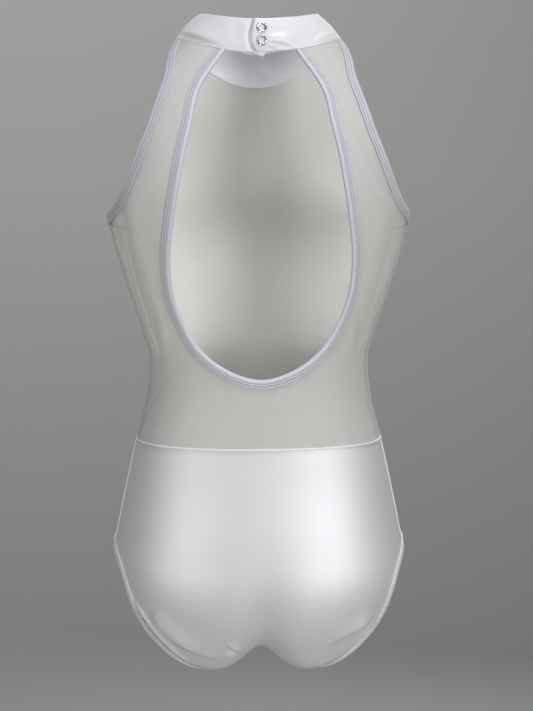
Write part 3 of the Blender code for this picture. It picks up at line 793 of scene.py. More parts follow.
meshCreases = (
    Crease(-0.0012, 0.0090, 0.0090, 1, ((48, -0.262), (57, -0.292), (68, -0.318))),
    Crease(-0.0009, 0.0080, 0.0080, 1, ((-55, -0.250), (-60, -0.285), (-68, -0.312))),
    Crease(-0.0006, 0.0060, 0.0060, 1, ((62, -0.150), (66, -0.190), (74, -0.225))),
    Crease(-0.0006, 0.0060, 0.0060, 1, ((-60, -0.155), (-67, -0.195), (-73, -0.235))),
)
bodiceCreases = (
    Crease(-0.0010, 0.0090, 0.0090, 1, ((146, -0.060), (152, -0.090), (160, -0.112))),
    Crease(-0.0008, 0.0080, 0.0080, 1, ((218, -0.055), (210, -0.084), (202, -0.118))),
    Crease(-0.0012, 0.0100, 0.0100, 1, ((110, -0.215), (124, -0.240), (140, -0.252))),
    Crease(-0.0009, 0.0090, 0.0090, 1, ((252, -0.208), (240, -0.236), (222, -0.256))),
    Crease(0.0008, 0.0070, 0.0040, -1, ((112, -0.352), (134, -0.362), (156, -0.360))),
    Crease(0.0006, 0.0070, 0.0040, -1, ((246, -0.357), (228, -0.366), (206, -0.368))),
)
seatCreases = (
    Crease(0.0027, 0.0034, 0.0014, 1, ((-56, 31), (-42.8, 42.4), (-31, 51), (-22, 57.5), (-16.5, 56))),
    Crease(0.0058, 0.0140, 0.0014, 1, ((-43, 34), (-34, 41.5), (-27.2, 44.6), (-20.8, 47.3), (-13, 49.2))),
    Crease(0.0030, 0.0050, 0.0012, 1, ((-12.2, 39), (-9.5, 43.5), (-7, 47.5))),
    Crease(0.0028, 0.0040, 0.0012, 1, ((-13.5, 48), (-10, 47.6), (-7, 46.8))),
    Crease(0.0034, 0.0110, 0.0014, -1, ((44, 39.5), (36, 41), (31.3, 41.3), (24, 42.4))),
    Crease(0.0009, 0.0050, 0.0015, -1, ((27.5, 44.8), (24, 44), (20, 43))),
    Crease(0.0013, 0.0036, 0.0015, -1, ((25, 56), (20, 57), (15, 58))),
    Crease(0.0012, 0.0034, 0.0015, -1, ((47, 42), (39, 48), (31, 53.5))),
)
frontBriefCreases = (
    Crease(0.0012, 0.0080, 0.0018, -1, ((142, 35), (150, 42), (158, 49), (163, 54))),
    Crease(0.0010, 0.0070, 0.0018, 1, ((220, 33), (211, 41), (203, 47), (198, 52))),
    Crease(-0.0007, 0.0060, 0.0060, 1, ((166, 70), (172, 62), (176, 50))),
)


def keyholeEdge():
    side = [placeAtFoot(yoke["keyholeTopAcross"])]
    side += [placeOf(row.across, row.height) for row in keyholeRows]
    other = [(-angle, level) for angle, level in reversed(side)]
    whole = curveThrough(side + [(0.0, yoke["keyholeBottom"])] + other)
    return whole[: len(whole) // 2 + 1]


def armholeEdge(rows, topAcross, inFront):
    keys = [placeAtFoot(topAcross, inFront)]
    keys += [placeOf(row.across, row.height, inFront) for row in rows]
    bend = math.pi - yoke["underarmCurveAngle"] if inFront else yoke["underarmCurveAngle"]
    keys += [(bend, yoke["underarmCurveLevel"]), (math.pi / 2, bodyForm["underarmLevel"])]
    keys += [(math.pi - bend, yoke["underarmCurveLevel"])]
    path = curveThrough(keys)
    passed = path[:, 0] < math.pi / 2 if inFront else path[:, 0] > math.pi / 2
    path = path[: len(path) - np.argmin(passed[::-1])].copy()
    path[-1] = (math.pi / 2, bodyForm["underarmLevel"])
    return path


def besideSeam(level, inFront):
    place = np.array([math.pi / 2, level])
    shift = 0.5 * cloth["gap"] / float(np.linalg.norm(slopes(place)[0]))
    return np.array([place[0] + (shift if inFront else -shift), level])


def sideLine(top, foot, inFront):
    return straight(besideSeam(top, inFront), besideSeam(foot, inFront))


def yokeGrid():
    side = sideLine(bodyForm["underarmLevel"], bodyForm["waistLevel"] + cloth["gap"] / 2, False)
    waist = straight(side[-1], (0.0, side[-1, 1]))
    keyhole = keyholeEdge()
    armhole = armholeEdge(armholeBackRows, yoke["armholeBackAcross"], False)
    under, foot = yoke["keyholeAtUnderarm"], yoke["keyholeAtWaistCorner"]
    inner = np.concatenate([
        evenly(keyhole, yoke["armholeSteps"], 0.0, under),
        evenly(keyhole, yoke["sideSteps"], under, foot)[1:],
        evenly(keyhole, yoke["footSteps"], foot, 1.0)[1:],
    ])
    arm, down = evenly(armhole, yoke["armholeSteps"]), evenly(side, yoke["sideSteps"])
    arm[-1] = side[0]
    across = evenly(waist, yoke["footSteps"])
    outer = np.concatenate([arm, down[1:], across[1:]])
    innerStep = inset(inner, yoke["keyholeBinding"], 1)
    innerStep[0, 1], innerStep[-1, 0] = inner[0, 1], 0.0
    armStep = inset(arm, yoke["armholeBinding"], -1)
    downStep = inset(down, yoke["sideStep"], -1)
    waistStep = inset(across, yoke["allowanceWidth"], -1)
    armStep[0, 1], waistStep[-1, 0] = arm[0, 1], 0.0
    corners = [(downStep[0, 0], armStep[-1, 1])], [(downStep[-1, 0], waistStep[0, 1])]
    outerStep = np.concatenate([armStep[:-1], corners[0], downStep[1:-1], corners[1], waistStep[1:]])
    middle = between(innerStep, outerStep, np.linspace(0, 1, yoke["across"] + 1))
    grid = np.concatenate([inner[:, None], middle, outer[:, None]], axis=1)
    return grid


def bodiceGrid():
    armhole = armholeEdge(armholeFrontRows, yoke["armholeFrontAcross"], True)
    side = sideLine(bodyForm["underarmLevel"], bodyForm["waistLevel"] + cloth["gap"] / 2, True)
    arm, down = evenly(armhole, yoke["armholeSteps"]), evenly(side, yoke["sideSteps"])
    arm[-1] = side[0]
    outer = np.concatenate([arm, down[1:]])
    armStep = inset(arm, yoke["armholeBinding"], 1)
    armStep[0, 1] = arm[0, 1]
    downStep = inset(down, yoke["sideStep"], 1)
    outerStep = np.concatenate([armStep[:-1], downStep])
    outerStep[yoke["armholeSteps"], 1] = armStep[-1, 1]
    outerStep[-1, 1] = outer[-1, 1]
    centre = evenly(straight((math.pi, outer[0, 1]), (math.pi, outer[-1, 1])), len(outer) - 1)
    middle = between(outerStep, centre, np.linspace(0, 1, yoke["across"] + 21))
    return np.concatenate([outer[:, None], middle], axis=1), arm, armStep


brief = {
    "sideSteps": 84,
    "crotchSteps": 66,
    "across": 104,
    "finerAtEdge": 1.6,
    "hemWidth": 0.0070,
}

Leg = namedtuple("Leg", "angle turn")
legBackRows = (
    Leg(90, 1), Leg(84, 4), Leg(78, 7.5), Leg(72, 12), Leg(66, 18.5), Leg(60, 28.5), Leg(55, 37.5),
    Leg(49, 45.5), Leg(43, 50.5), Leg(35, 55.5), Leg(28, 61), Leg(22, 67), Leg(17, 73.5),
    Leg(13.5, 82), Leg(12, 90),
)
legFrontRows = (
    Leg(90, 1), Leg(84, 4.5), Leg(78, 8.5), Leg(70, 15), Leg(60, 24), Leg(50, 33.5), Leg(40, 43),
    Leg(32, 50.5), Leg(24, 59.5), Leg(17, 69.5), Leg(13, 80), Leg(12, 90),
)


def legEdge(rows, inFront):
    keys = []
    for row in rows:
        angle = math.radians(180 - row.angle if inFront else row.angle)
        keys.append((angle, bodyForm["hipLevel"] - bodyForm["turnRadius"] * math.radians(row.turn)))
    path = curveThrough(keys)
    path[-1, 1] += 0.5 * cloth["gap"] / 0.095 * bodyForm["turnRadius"]
    path[0] = besideSeam(bodyForm["hipLevel"], inFront)
    return path


def briefGrid(rows, inFront):
    centre = math.pi if inFront else 0.0
    leg = legEdge(rows, inFront)
    top = bodyForm["waistLevel"] - cloth["gap"] / 2
    waist = evenly(straight(besideSeam(top, inFront), (centre, top)), brief["sideSteps"])
    down = evenly(straight((centre, top), (centre, leg[-1, 1])), brief["crotchSteps"])
    chain = np.concatenate([waist, down[1:]])
    edge = evenly(leg, brief["sideSteps"] + brief["crotchSteps"])
    hem = inset(edge, brief["hemWidth"], 1 if inFront else -1)
    hem[0] = (edge[0, 0], bodyForm["hipLevel"] + brief["hemWidth"])
    hem[-1, 1] = edge[-1, 1]
    shares = np.linspace(0, 1, brief["across"] + 1) ** brief["finerAtEdge"]
    middle = between(hem, chain, shares)
    return np.concatenate([edge[:, None], middle], axis=1), edge, hem


backGrid = yokeGrid()
frontGrid, frontArm, frontArmStep = bodiceGrid()
seatGrid, seatEdge, seatHem = briefGrid(legBackRows, False)
lapGrid, lapEdge, lapHem = briefGrid(legFrontRows, True)
meshBack = clothShell("meshBack", [backGrid, mirrored(backGrid)], meshCreases, False, [powerMesh, powerMesh])
frontBodice = clothShell("frontBodice", [frontGrid, mirrored(frontGrid, True)], bodiceCreases, True, [satin, reverse])
briefBack = clothShell("briefBack", [seatGrid, mirrored(seatGrid)], seatCreases, False, [satin, reverse])
briefFront = clothShell("briefFront", [lapGrid, mirrored(lapGrid, True)], frontBriefCreases, True, [satin, reverse])
for piece, node, slot in (
    (meshBack, "back_mesh", "power_mesh"),
    (frontBodice, "front_bodice", "satin_spandex"),
    (briefBack, "brief_back", "satin_spandex"),
    (briefFront, "brief_front", "satin_spandex"),
):
    settle(piece, node)
print("panels made")


# Strips folded over an edge: bindings and leg hems
binding = {
    "crown": 0.00060,
    "nose": 0.0014,
    "rows": (0.42, 0.76),
    "grooveDepth": 0.00055,
    "grooveWidth": 0.065,
    "pucker": 0.00010,
    "puckerPitch": 0.0075,
    "stitchPitch": 0.0022,
    "stitchLength": 0.0017,
    "threadRadius": 0.00022,
    "underarmEase": 0.0004,
}
hem = {
    "crown": 0.00090,
    "nose": 0.0019,
    "rows": (0.52, 0.84),
    "grooveDepth": 0.00055,
    "grooveWidth": 0.08,
    "pucker": 0.00012,
    "puckerPitch": 0.0110,
    "stitchPitch": 0.0030,
    "stitchLength": 0.0024,
    "threadRadius": 0.00020,
}


def stripLift(look, share):
    # How far the strip's outer face rises over its own cloth, from the fold (0) to its sewn edge (1).
    rise = look["crown"] * np.sin(math.pi * np.clip(share, 0, 1)) ** 0.7
    for row in look["rows"]:
        rise = rise - look["grooveDepth"] * np.exp(-(((share - row) / look["grooveWidth"]) ** 2))
    return rise


def stripShares(look):
    # Where the outer face is bent: closer together at its stitch rows.
    spots = {1.0, 0.985, 0.30, 0.18, 0.06}
    for row in look["rows"]:
        spots.update(row + step for step in (-0.11, -0.07, -0.035, 0.0, 0.035, 0.07, 0.11))
    return np.array(sorted(spots, reverse=True))


def stripGrooveShade(look, rings):
    # Painted shade: how deep each ring of a strip lies in a stitch groove, which the material darkens.
    shares = stripShares(look)
    depth = np.zeros(rings.shape[:2])
    for row in look["rows"]:
        depth[:, : len(shares)] += np.exp(-(((shares - row) / look["grooveWidth"]) ** 2))
    return depth


def stripRings(edge, inner, creases, look, ease=0.0):
    # A rounded U of cloth round the edge at each station, with the height of its pucker along it.
    run = runLengths(edge)
    wave = np.sin(2 * math.pi * run / look["puckerPitch"]) + 0.6 * np.sin(3.1 * run / look["puckerPitch"] + 1.3)
    pucker = look["pucker"] * wave[:, None]
    near = cloth["gap"] + ease
    far = near + cloth["binding"]
    low, middle = -cloth["panel"] - near, -0.5 * cloth["panel"]
    outShares = stripShares(look)
    inShares = np.array([0.06, 0.35, 0.7, 1.0])

    def row(share):
        place = edge * (1 - share) + inner * share
        return points(place), normals(place), relief(place, creases)

    rings = []
    for share in outShares:
        spot, out, bump = row(share)
        edgeDrop = -0.55 * cloth["binding"] if share == 1.0 else 0.0
        lift = bump[:, None] + far + stripLift(look, share) + pucker * math.sin(math.pi * min(share, 1.0)) + edgeDrop
        rings.append(spot + out * lift)
    spot, out, bump = row(0.0)
    inside = points(edge * 0.9 + inner * 0.1)
    beyond = unit(spot - inside)
    reach = 0.5 * cloth["panel"] + far
    for turn in np.radians(np.linspace(75, -75, 7)):
        nose = beyond * (look["nose"] + ease) * math.cos(turn)
        rings.append(spot + nose + out * (bump[:, None] + middle + reach * math.sin(turn)))
    for share in inShares:
        spot, out, bump = row(share)
        rings.append(spot + out * (bump[:, None] + low - cloth["binding"]))
    for share in inShares[::-1]:
        spot, out, bump = row(share)
        rings.append(spot + out * (bump[:, None] + low))
    spot, out, bump = row(0.0)
    rings.append(spot + beyond * near + out * (bump[:, None] + low))
    rings.append(spot + beyond * near + out * (bump[:, None] + near))
    for share in inShares:
        spot, out, bump = row(share)
        rings.append(spot + out * (bump[:, None] + near))
    return np.stack(rings, axis=1)


def stripPath(edge, inner, creases, look, share, ease=0.0, above=0.00010):
    place = edge * (1 - share) + inner * share
    far = cloth["gap"] + ease + cloth["binding"]
    lift = relief(place, creases)[:, None] + far + stripLift(look, share) + above
    return points(place) + normals(place) * lift


def flip(rows):
    other = np.array(rows, float)
    other[..., 0] *= -1
    return other


def ringLay(rings, closed=False):
    # Map of a strip in metres: along its length, then round its section.
    middle = rings[:, 0]
    along = np.concatenate([[0.0], np.cumsum(np.linalg.norm(np.diff(middle, axis=0), axis=1))])
    step = np.linalg.norm(np.diff(rings, axis=1), axis=2).mean(axis=0)
    round_ = np.concatenate([[0.0], np.cumsum(step)])
    return np.stack(np.meshgrid(along, round_, indexing="ij"), axis=-1)


def ladder(name, rows, look, closed=False):
    # Two rows of stitches and the threads that cross between them.
    first, second = rows
    meshes = []
    for row in rows:
        meshes.append(stitchMesh(name, row, alongPath(row, closed), look["stitchPitch"], look["stitchLength"],
                                 look["threadRadius"], closed))
    between_ = 0.5 * (first + second)
    across = second - first
    width = float(np.linalg.norm(across, axis=1).mean())
    meshes.append(stitchMesh(name, between_, unit(across), look["stitchPitch"], width * 1.02,
                             look["threadRadius"] * 0.9, closed))
    return joined(name, meshes)


def buildKeyholeBinding():
    inner, innerStep = backGrid[:, 0], backGrid[:, 1]
    half = stripRings(inner, innerStep, meshCreases, binding)
    rings = np.concatenate([half[:-1], flip(half)[::-1]])
    pressed = stripGrooveShade(binding, rings)
    piece = tubeThrough("keyholeBinding", rings, [bindingCloth], uv=ringLay(rings), pressed=pressed)
    rows = []
    for share in binding["rows"]:
        path = stripPath(inner, innerStep, meshCreases, binding, share)
        rows.append(np.concatenate([path[2:-1], flip(path)[-1:1:-1]]))
    stitches = ladder("keyholeStitches", rows, binding)
    return piece, stitches


def buildArmholeBindings():
    count = yoke["armholeSteps"] + 1
    edge, step = backGrid[:count, -1], backGrid[:count, -2].copy()
    step[-1, 0] = edge[-1, 0]
    frontStep = frontArmStep.copy()
    frontStep[-1, 0] = frontArm[-1, 0]
    ease = binding["underarmEase"] * easeIn((np.arange(count) - count + 16) / 10.0)[:, None]
    back = stripRings(edge, step, meshCreases, binding, ease)
    front = stripRings(frontArm, frontStep, bodiceCreases, binding, ease)
    seam = 0.5 * (back[-1] + front[-1])
    rings = np.concatenate([back[:-1], seam[None], front[-2::-1]])
    rows = []
    for share in binding["rows"]:
        backPath = stripPath(edge, step, meshCreases, binding, share, ease)
        frontPath = stripPath(frontArm, frontStep, bodiceCreases, binding, share, ease)
        middle = 0.5 * (backPath[-1] + frontPath[-1])
        rows.append(np.concatenate([backPath[2:-1], middle[None], frontPath[-2:1:-1]]))
    made = []
    for label, turn in (("Right", lambda rows_: rows_), ("Left", flip)):
        piece = tubeThrough("armholeBinding" + label, turn(rings), [bindingCloth], uv=ringLay(rings),
                            pressed=stripGrooveShade(binding, rings))
        stitches = ladder("armholeStitches" + label, [turn(row) for row in rows], binding)
        made.append((piece, stitches))
    return made


def buildHems():
    back = stripRings(seatEdge, seatHem, seatCreases, hem)
    front = stripRings(lapEdge, lapHem, frontBriefCreases, hem)
    side, crotch = 0.5 * (back[0] + front[0]), 0.5 * (back[-1] + front[-1])
    rings = np.concatenate([side[None], back[1:-1], crotch[None], front[-2:0:-1]])
    rows = []
    for share in hem["rows"]:
        backPath = stripPath(seatEdge, seatHem, seatCreases, hem, share)
        frontPath = stripPath(lapEdge, lapHem, frontBriefCreases, hem, share)
        ends = 0.5 * (backPath[0] + frontPath[0]), 0.5 * (backPath[-1] + frontPath[-1])
        rows.append(np.concatenate([ends[0][None], backPath[1:-1], ends[1][None], frontPath[-2:0:-1]]))
    made = []
    for label, turn in (("Right", lambda rows_: rows_), ("Left", flip)):
        piece = tubeThrough("legHem" + label, turn(rings), [collarCloth], closed=True, uv=ringLay(rings),
                            pressed=stripGrooveShade(hem, rings))
        meshes = [stitchMesh("legStitches" + label, turn(row), alongPath(turn(row), True), hem["stitchPitch"],
                             hem["stitchLength"], hem["threadRadius"], True) for row in rows]
        made.append((piece, joined("legStitches" + label, meshes)))
    return made


keyholeBinding, keyholeStitches = buildKeyholeBinding()
(armRight, armRightStitches), (armLeft, armLeftStitches) = buildArmholeBindings()
(hemRight, hemRightStitches), (hemLeft, hemLeftStitches) = buildHems()
for piece, node, slot in (
    (keyholeBinding, "keyhole_binding", "fold_binding"),
    (armRight, "armhole_binding_right", "fold_binding"),
    (armLeft, "armhole_binding_left", "fold_binding"),
    (hemRight, "leg_hem_right", "satin_spandex"),
    (hemLeft, "leg_hem_left", "satin_spandex"),
    (keyholeStitches, None, "fold_binding"),
    (armRightStitches, None, "fold_binding"),
    (armLeftStitches, None, "fold_binding"),
    (hemRightStitches, None, "satin_spandex"),
    (hemLeftStitches, None, "satin_spandex"),
):
    settle(piece, node)
print("bindings, hems and their stitches made")


# Seams: the rolled waist seam, its allowance behind the mesh, and the side seams
seams = {
    "waistRadius": 0.00115,
    "waistLift": 0.00050,
    "sideRadius": 0.00100,
    "sideLift": 0.00030,
    "sideShift": 0.0016,
    "step": 0.0020,
    "tipLength": 0.0036,
}


def buildWaistSeam():
    angles = np.linspace(0, 2 * math.pi, 260, endpoint=False)
    level = bodyForm["waistLevel"] + 0.0006 * np.sin(3 * angles + 0.6) * 0.4
    place = np.stack([angles, level], axis=-1)
    rows = points(place) + normals(place) * seams["waistLift"]
    return joined("waistSeam", [seamMesh("waistSeam", rows, seams["step"], seams["waistRadius"], collarCloth, True)])


def sideSeam(label, top, foot, look, tip):
    # The allowance is turned to the back, so the ridge lies just behind the joint.
    levels = np.linspace(top, foot, 90)
    place = np.stack([np.full_like(levels, math.pi / 2), levels], axis=-1)
    rows = points(place) + normals(place) * seams["sideLift"] - np.array([0.0, seams["sideShift"], 0.0])
    if tip:
        # The seam's end stands out of the hem in a small soft point.
        near = easeIn((np.arange(len(rows)) - len(rows) + 9) / 8.0)[:, None]
        rows = rows + near * np.array([seams["tipLength"] * 0.55, 0.0, -seams["tipLength"] * 0.2])
    meshes = [seamMesh("sideSeam" + label, turned, seams["step"], seams["sideRadius"], look)
              for turned in (rows, flip(rows))]
    return joined("sideSeam" + label, meshes)


def buildAllowance():
    count = yoke["armholeSteps"] + yoke["sideSteps"]
    edge, step = backGrid[count:, -1], backGrid[count:, -2]
    shares = np.linspace(0, 1, 5)
    place = edge[:, None] * (1 - shares[:, None]) + step[:, None] * shares[:, None]
    whole = np.concatenate([place, mirrored(place)[-2::-1]])
    bumps = relief(whole, meshCreases)[..., None]
    top = -cloth["panel"] - cloth["gap"] - 0.0001 * np.sin(np.arange(len(whole)) * 0.9)[:, None, None]
    out = normals(whole)
    outer = points(whole) + out * (bumps + top)
    inner = points(whole) + out * (bumps + top - cloth["binding"])
    rings = np.concatenate([outer, inner[:, ::-1]], axis=1)
    return tubeThrough("waistAllowance", rings, [collarCloth], uv=ringLay(rings))


waistAllowance = settle(buildAllowance(), "waist_allowance")
waistSeam = settle(buildWaistSeam(), None)
yokeSideSeams = settle(
    sideSeam("Yoke", bodyForm["underarmLevel"] - 0.010, bodyForm["waistLevel"] + 0.001, powerMesh, False),
    None,
)
briefSideSeams = settle(
    sideSeam("Brief", bodyForm["waistLevel"] - 0.001, bodyForm["hipLevel"] + 0.003, collarCloth, True),
    None,
)
print("seams made")


# Collar: a doubled band that goes once round and laps at the centre back
collar = {
    "steps": 320,
    "heightSteps": 26,
    "bow": 0.0015,
    "overlapRight": 0.0160,
    "overlapLeft": 0.0076,
    "overlapRamp": math.radians(28),
    "cornerDrop": 0.0046,
    "cornerAngle": math.radians(0.9),
    "cornerLeft": math.radians(6.0),
    "cornerRight": math.radians(2.6),
    "endLift": 0.0008,
    "endBulge": -0.020,
    "endCurl": 0.044,
}

Ring = namedtuple("Ring", "halfWidth back front sideHeight dipBack dipFront")
collarFoot = Ring(0.0850, 0.0620, 0.0600, 0.006, 0.0175, 0.0460)
collarTop = Ring(0.0615, 0.0590, 0.0560, 0.0305, 0.0100, 0.0365)

# Folds of the collar: places are (degrees, share of its height).
collarCreases = (
    Crease(0.0017, 0.0040, 0.0011, 1, ((4.5, 0.30), (11, 0.27), (18, 0.19), (25, 0.03))),
    Crease(0.0013, 0.0045, 0.0012, 1, ((4.5, 0.44), (12, 0.41), (20, 0.33), (28, 0.17))),
    Crease(0.0012, 0.0028, 0.0010, 1, ((4.0, 0.19), (9, 0.12), (13, 0.02))),
    Crease(-0.0010, 0.0040, 0.0040, 1, ((3.0, 0.53), (10, 0.55), (20, 0.62))),
    Crease(0.0019, 0.0080, 0.0022, 1, ((-82, 0.26), (-64, 0.23), (-45, 0.22), (-24, 0.14))),
    Crease(0.0014, 0.0070, 0.0022, -1, ((80, 0.26), (66, 0.24), (50, 0.22), (40, 0.14))),
    Crease(-0.0030, 0.0036, 0.0030, 1, ((-5.8, 0.99), (-6.6, 0.74), (-7.6, 0.50), (-7.2, 0.26), (-6.0, 0.02))),
    Crease(-0.0010, 0.0060, 0.0060, 1, ((-15, 0.80), (-19, 0.50), (-16, 0.22))),
    Crease(0.0010, 0.0070, 0.0020, 1, ((112, 0.22), (130, 0.20), (150, 0.24), (166, 0.20))),
    Crease(0.0009, 0.0070, 0.0020, 1, ((198, 0.24), (214, 0.19), (232, 0.23), (246, 0.21))),
    Crease(-0.0008, 0.0060, 0.0060, 1, ((172, 0.85), (176, 0.55), (170, 0.25))),
)


def ringPoints(ring, angle):
    atBack = np.cos(angle) > 0
    depth = np.where(atBack, ring.back, ring.front)
    dip = np.where(atBack, ring.dipBack, ring.dipFront)
    height = ring.sideHeight - dip * np.cos(angle) ** 2
    return np.stack([ring.halfWidth * np.sin(angle), -depth * np.cos(angle), height], axis=-1)


def collarPoints(angle, share, lift):
    angle, share, lift = np.broadcast_arrays(np.asarray(angle, float), np.asarray(share, float), lift)
    foot, top = ringPoints(collarFoot, angle), ringPoints(collarTop, angle)
    along = ringPoints(collarFoot, angle + 0.01) - ringPoints(collarFoot, angle - 0.01)
    own = unit(np.cross(along, top - foot))
    level = np.full_like(angle, bodyForm["footLevel"] - cloth["gap"])
    body = normals(np.stack([angle, level], axis=-1))
    part = share[..., None]
    outward = unit(body * (1 - part) ** 2 + own * (1 - (1 - part) ** 2))
    bow = collar["bow"] * np.sin(math.pi * share)
    return foot * (1 - part) + top * part + outward * (bow + lift)[..., None]


def collarLift(angle):
    start = math.asin(collar["overlapRight"] / collarFoot.halfWidth) - 2 * math.pi
    near = (start + collar["overlapRamp"] + math.radians(4) - angle) / collar["overlapRamp"]
    return (cloth["collar"] + cloth["gap"]) * easeIn(near)


def collarRelief(angle, share):
    # Like relief, on the band: folds are lines of (angle, share), measured in metres on the band.
    place = np.stack([angle, share], axis=-1).reshape(-1, 2)
    here = collarPoints(place[:, 0], place[:, 1], 0.0)
    total = np.zeros(len(place))
    for number, crease in enumerate(collarCreases):
        keys = np.array([(math.radians(a), s) for a, s in crease.places])
        fine = np.linspace(0, len(keys) - 1, 30)
        line = np.column_stack([smoothCurve(np.arange(len(keys)), keys[:, i], fine) for i in (0, 1)])
        line = collarPoints(line[:, 0], line[:, 1], 0.0)
        best, along, side = np.full(len(here), 9.0), np.zeros(len(here)), np.zeros(len(here))
        for i in range(len(line) - 1):
            step = line[i + 1] - line[i]
            part = np.clip((here - line[i]) @ step / (step @ step), 0, 1)
            away = here - line[i] - part[:, None] * step
            far = np.linalg.norm(away, axis=1)
            closer = far < best
            best[closer], along[closer] = far[closer], (i + part[closer]) / (len(line) - 1)
            side[closer] = np.sign(away[closer][:, 2])
        width = np.where(side * crease.side > 0, crease.gentle, crease.steep)
        uneven = 1 + 0.2 * np.sin(4.3 * along + number)
        total += crease.height * np.sin(math.pi * along) ** 0.6 * uneven * np.exp(-((best / width) ** 2))
    return total.reshape(np.shape(angle))


def buildCollar():
    start = math.asin(collar["overlapRight"] / collarFoot.halfWidth)
    end = -math.asin(collar["overlapLeft"] / collarFoot.halfWidth) - 2 * math.pi
    ends = easeIn(np.linspace(0, 1, 25)) * 0.06
    angles = np.linspace(start, end, collar["steps"] + 1)
    angles = np.concatenate([start + (end - start) * ends[:-1], angles[angles < start + (end - start) * 0.06]])
    shares = np.linspace(0, 1, collar["heightSteps"] + 1)
    angle, share = np.meshgrid(angles, shares, indexing="ij")
    # The overlap's edge bulges at mid height and curls away at its foot.
    nearEnd = easeIn((end + math.radians(9) - angle) / math.radians(9))
    curl = np.clip(1 - share / 0.36, 0, 1) ** 2
    angle = angle + nearEnd * (collar["endBulge"] * np.sin(math.pi * share) + collar["endCurl"] * curl)
    bumps = collarRelief(angle, share)
    lapped = angle < -2 * math.pi + start
    wrapped = collarRelief(np.where(lapped, angle + 2 * math.pi, angle), share)
    bumps = np.where(lapped, np.maximum(wrapped, -0.0002), bumps)
    under = easeIn((angle - (start - math.radians(13))) / math.radians(4))
    bumps = bumps * (1 - 0.9 * np.where(angle > -0.09, under, 0.0))
    lift = collarLift(angle) + bumps
    lift = lift + collar["endLift"] * easeIn((end + math.radians(7) - angle) / math.radians(7))
    outside = collarPoints(angle, share, lift)
    inside = collarPoints(angle, share, lift - cloth["collar"])
    aside = angle - collar["cornerAngle"]
    spread = np.where(aside < 0, collar["cornerLeft"], collar["cornerRight"])
    drop = collar["cornerDrop"] * np.clip(1 - np.abs(aside) / spread, 0, 1)
    drop = drop * (1 - share) ** 2
    outside[..., 2] -= drop
    inside[..., 2] -= drop
    top = []
    middle = 0.5 * (outside[:, -1] + inside[:, -1])
    half = 0.5 * (outside[:, -1] - inside[:, -1])
    up = unit(outside[:, -1] - outside[:, -2]) * 0.0010
    for turn in np.radians((30, 60, 90, 120, 150)):
        top.append(middle + half * math.cos(turn) + up * math.sin(turn))
    rings = np.concatenate([outside, np.stack(top, axis=1), inside[:, ::-1]], axis=1)
    # The band's two ends are folded edges, so each closes in a round of its own.
    centre = 0.5 * (rings + np.concatenate([inside, np.stack(top[::-1], axis=1), outside[:, ::-1]], axis=1))
    for first, second, third in ((0, 1, 2), (-1, -2, -3)):
        rings[first] = centre[first] + (rings[first] - centre[first]) * 0.45
        rings[second] = centre[second] + (rings[second] - centre[second]) * 0.85
    return tubeThrough("collarBand", rings, [collarCloth], uv=ringLay(rings), sharp=60)


snap = {
    "outer": 0.0052,
    "inner": 0.0030,
    "thick": 0.0012,
    "across": 0.0010,
    "heights": (0.73, 0.32),
    "prongs": 5,
    "prongDepth": 0.00045,
    "sides": 80,
    "hollowGap": 0.0003,
    "pitCloth": 0.0006,
}


def buildSnap(name, share, lift, inward):
    angle = math.asin(snap["across"] / collarFoot.halfWidth)
    centre = collarPoints(angle, share, lift)
    up = unit(collarPoints(angle, share + 0.1, lift) - collarPoints(angle, share - 0.1, lift))
    side = unit(collarPoints(angle + 0.02, share, lift) - collarPoints(angle - 0.02, share, lift))
    outward = unit(np.cross(side, up)) * (-1 if inward else 1)
    base = centre + outward * (cloth["gap"] + (snap["hollowGap"] if inward else 0.0))
    rings = []
    for turn in np.linspace(0, 2 * math.pi, snap["sides"], endpoint=False):
        # Five bent prongs make the ring's inner half: it is thin and narrow in the slots between them.
        prong = 0.5 + 0.5 * math.cos(snap["prongs"] * turn + 0.6)
        prong = prong**0.45
        inner = snap["inner"] + snap["prongDepth"] * (1 - prong)
        middle = 0.5 * (snap["outer"] + inner)
        thick = snap["thick"]
        profile = (
            (snap["outer"] - 0.0002, 0.0), (snap["outer"], 0.30 * thick), (snap["outer"] - 0.0003, 0.75 * thick),
            (middle + 0.0004, thick), (middle, thick * (0.80 + 0.20 * prong)),
            (middle - 0.0004, thick * (0.45 + 0.50 * prong)), (inner + 0.0002, thick * (0.25 + 0.45 * prong)),
            (inner, 0.15 * thick), (inner + 0.0001, 0.0),
        )
        spoke = side * math.cos(turn) + up * math.sin(turn)
        rings.append([base + spoke * radius + outward * rise for radius, rise in profile])
    return tubeThrough(name, rings, [snapMetal], closed=True)


collarBand = settle(buildCollar(), "collar_band")
for label, share in zip(("Upper", "Lower"), snap["heights"]):
    lift = cloth["collar"] + cloth["gap"]
    settle(buildSnap("snap" + label, share, lift, False), "snap_" + label.lower())
    settle(buildSnap("snapBack" + label, share, -cloth["collar"], True), "snap_back_" + label.lower())
print("collar and snaps made")


# Lengths of the keyhole, armhole and leg edges
keyholeLength = 2 * float(runLengths(backGrid[:, 0])[-1])
armholeLength = float(runLengths(backGrid[: yoke["armholeSteps"] + 1, -1])[-1] + runLengths(frontArm)[-1])
legLength = float(runLengths(seatEdge)[-1] + runLengths(lapEdge)[-1])


# Stage, light and camera
studio = {
    "floorHeight": -1.45,
    "floorRadius": 2.6,
    "wallRadius": 4.6,
    "wallTop": 3.6,
    # The floor colour is painted shade, darker than the wall.
    "floorShadeColour": (0.38, 0.38, 0.37),
    "wallColour": (0.46, 0.47, 0.46),
    "worldColour": (0.55, 0.56, 0.57),
    "worldStrength": 0.20,
}


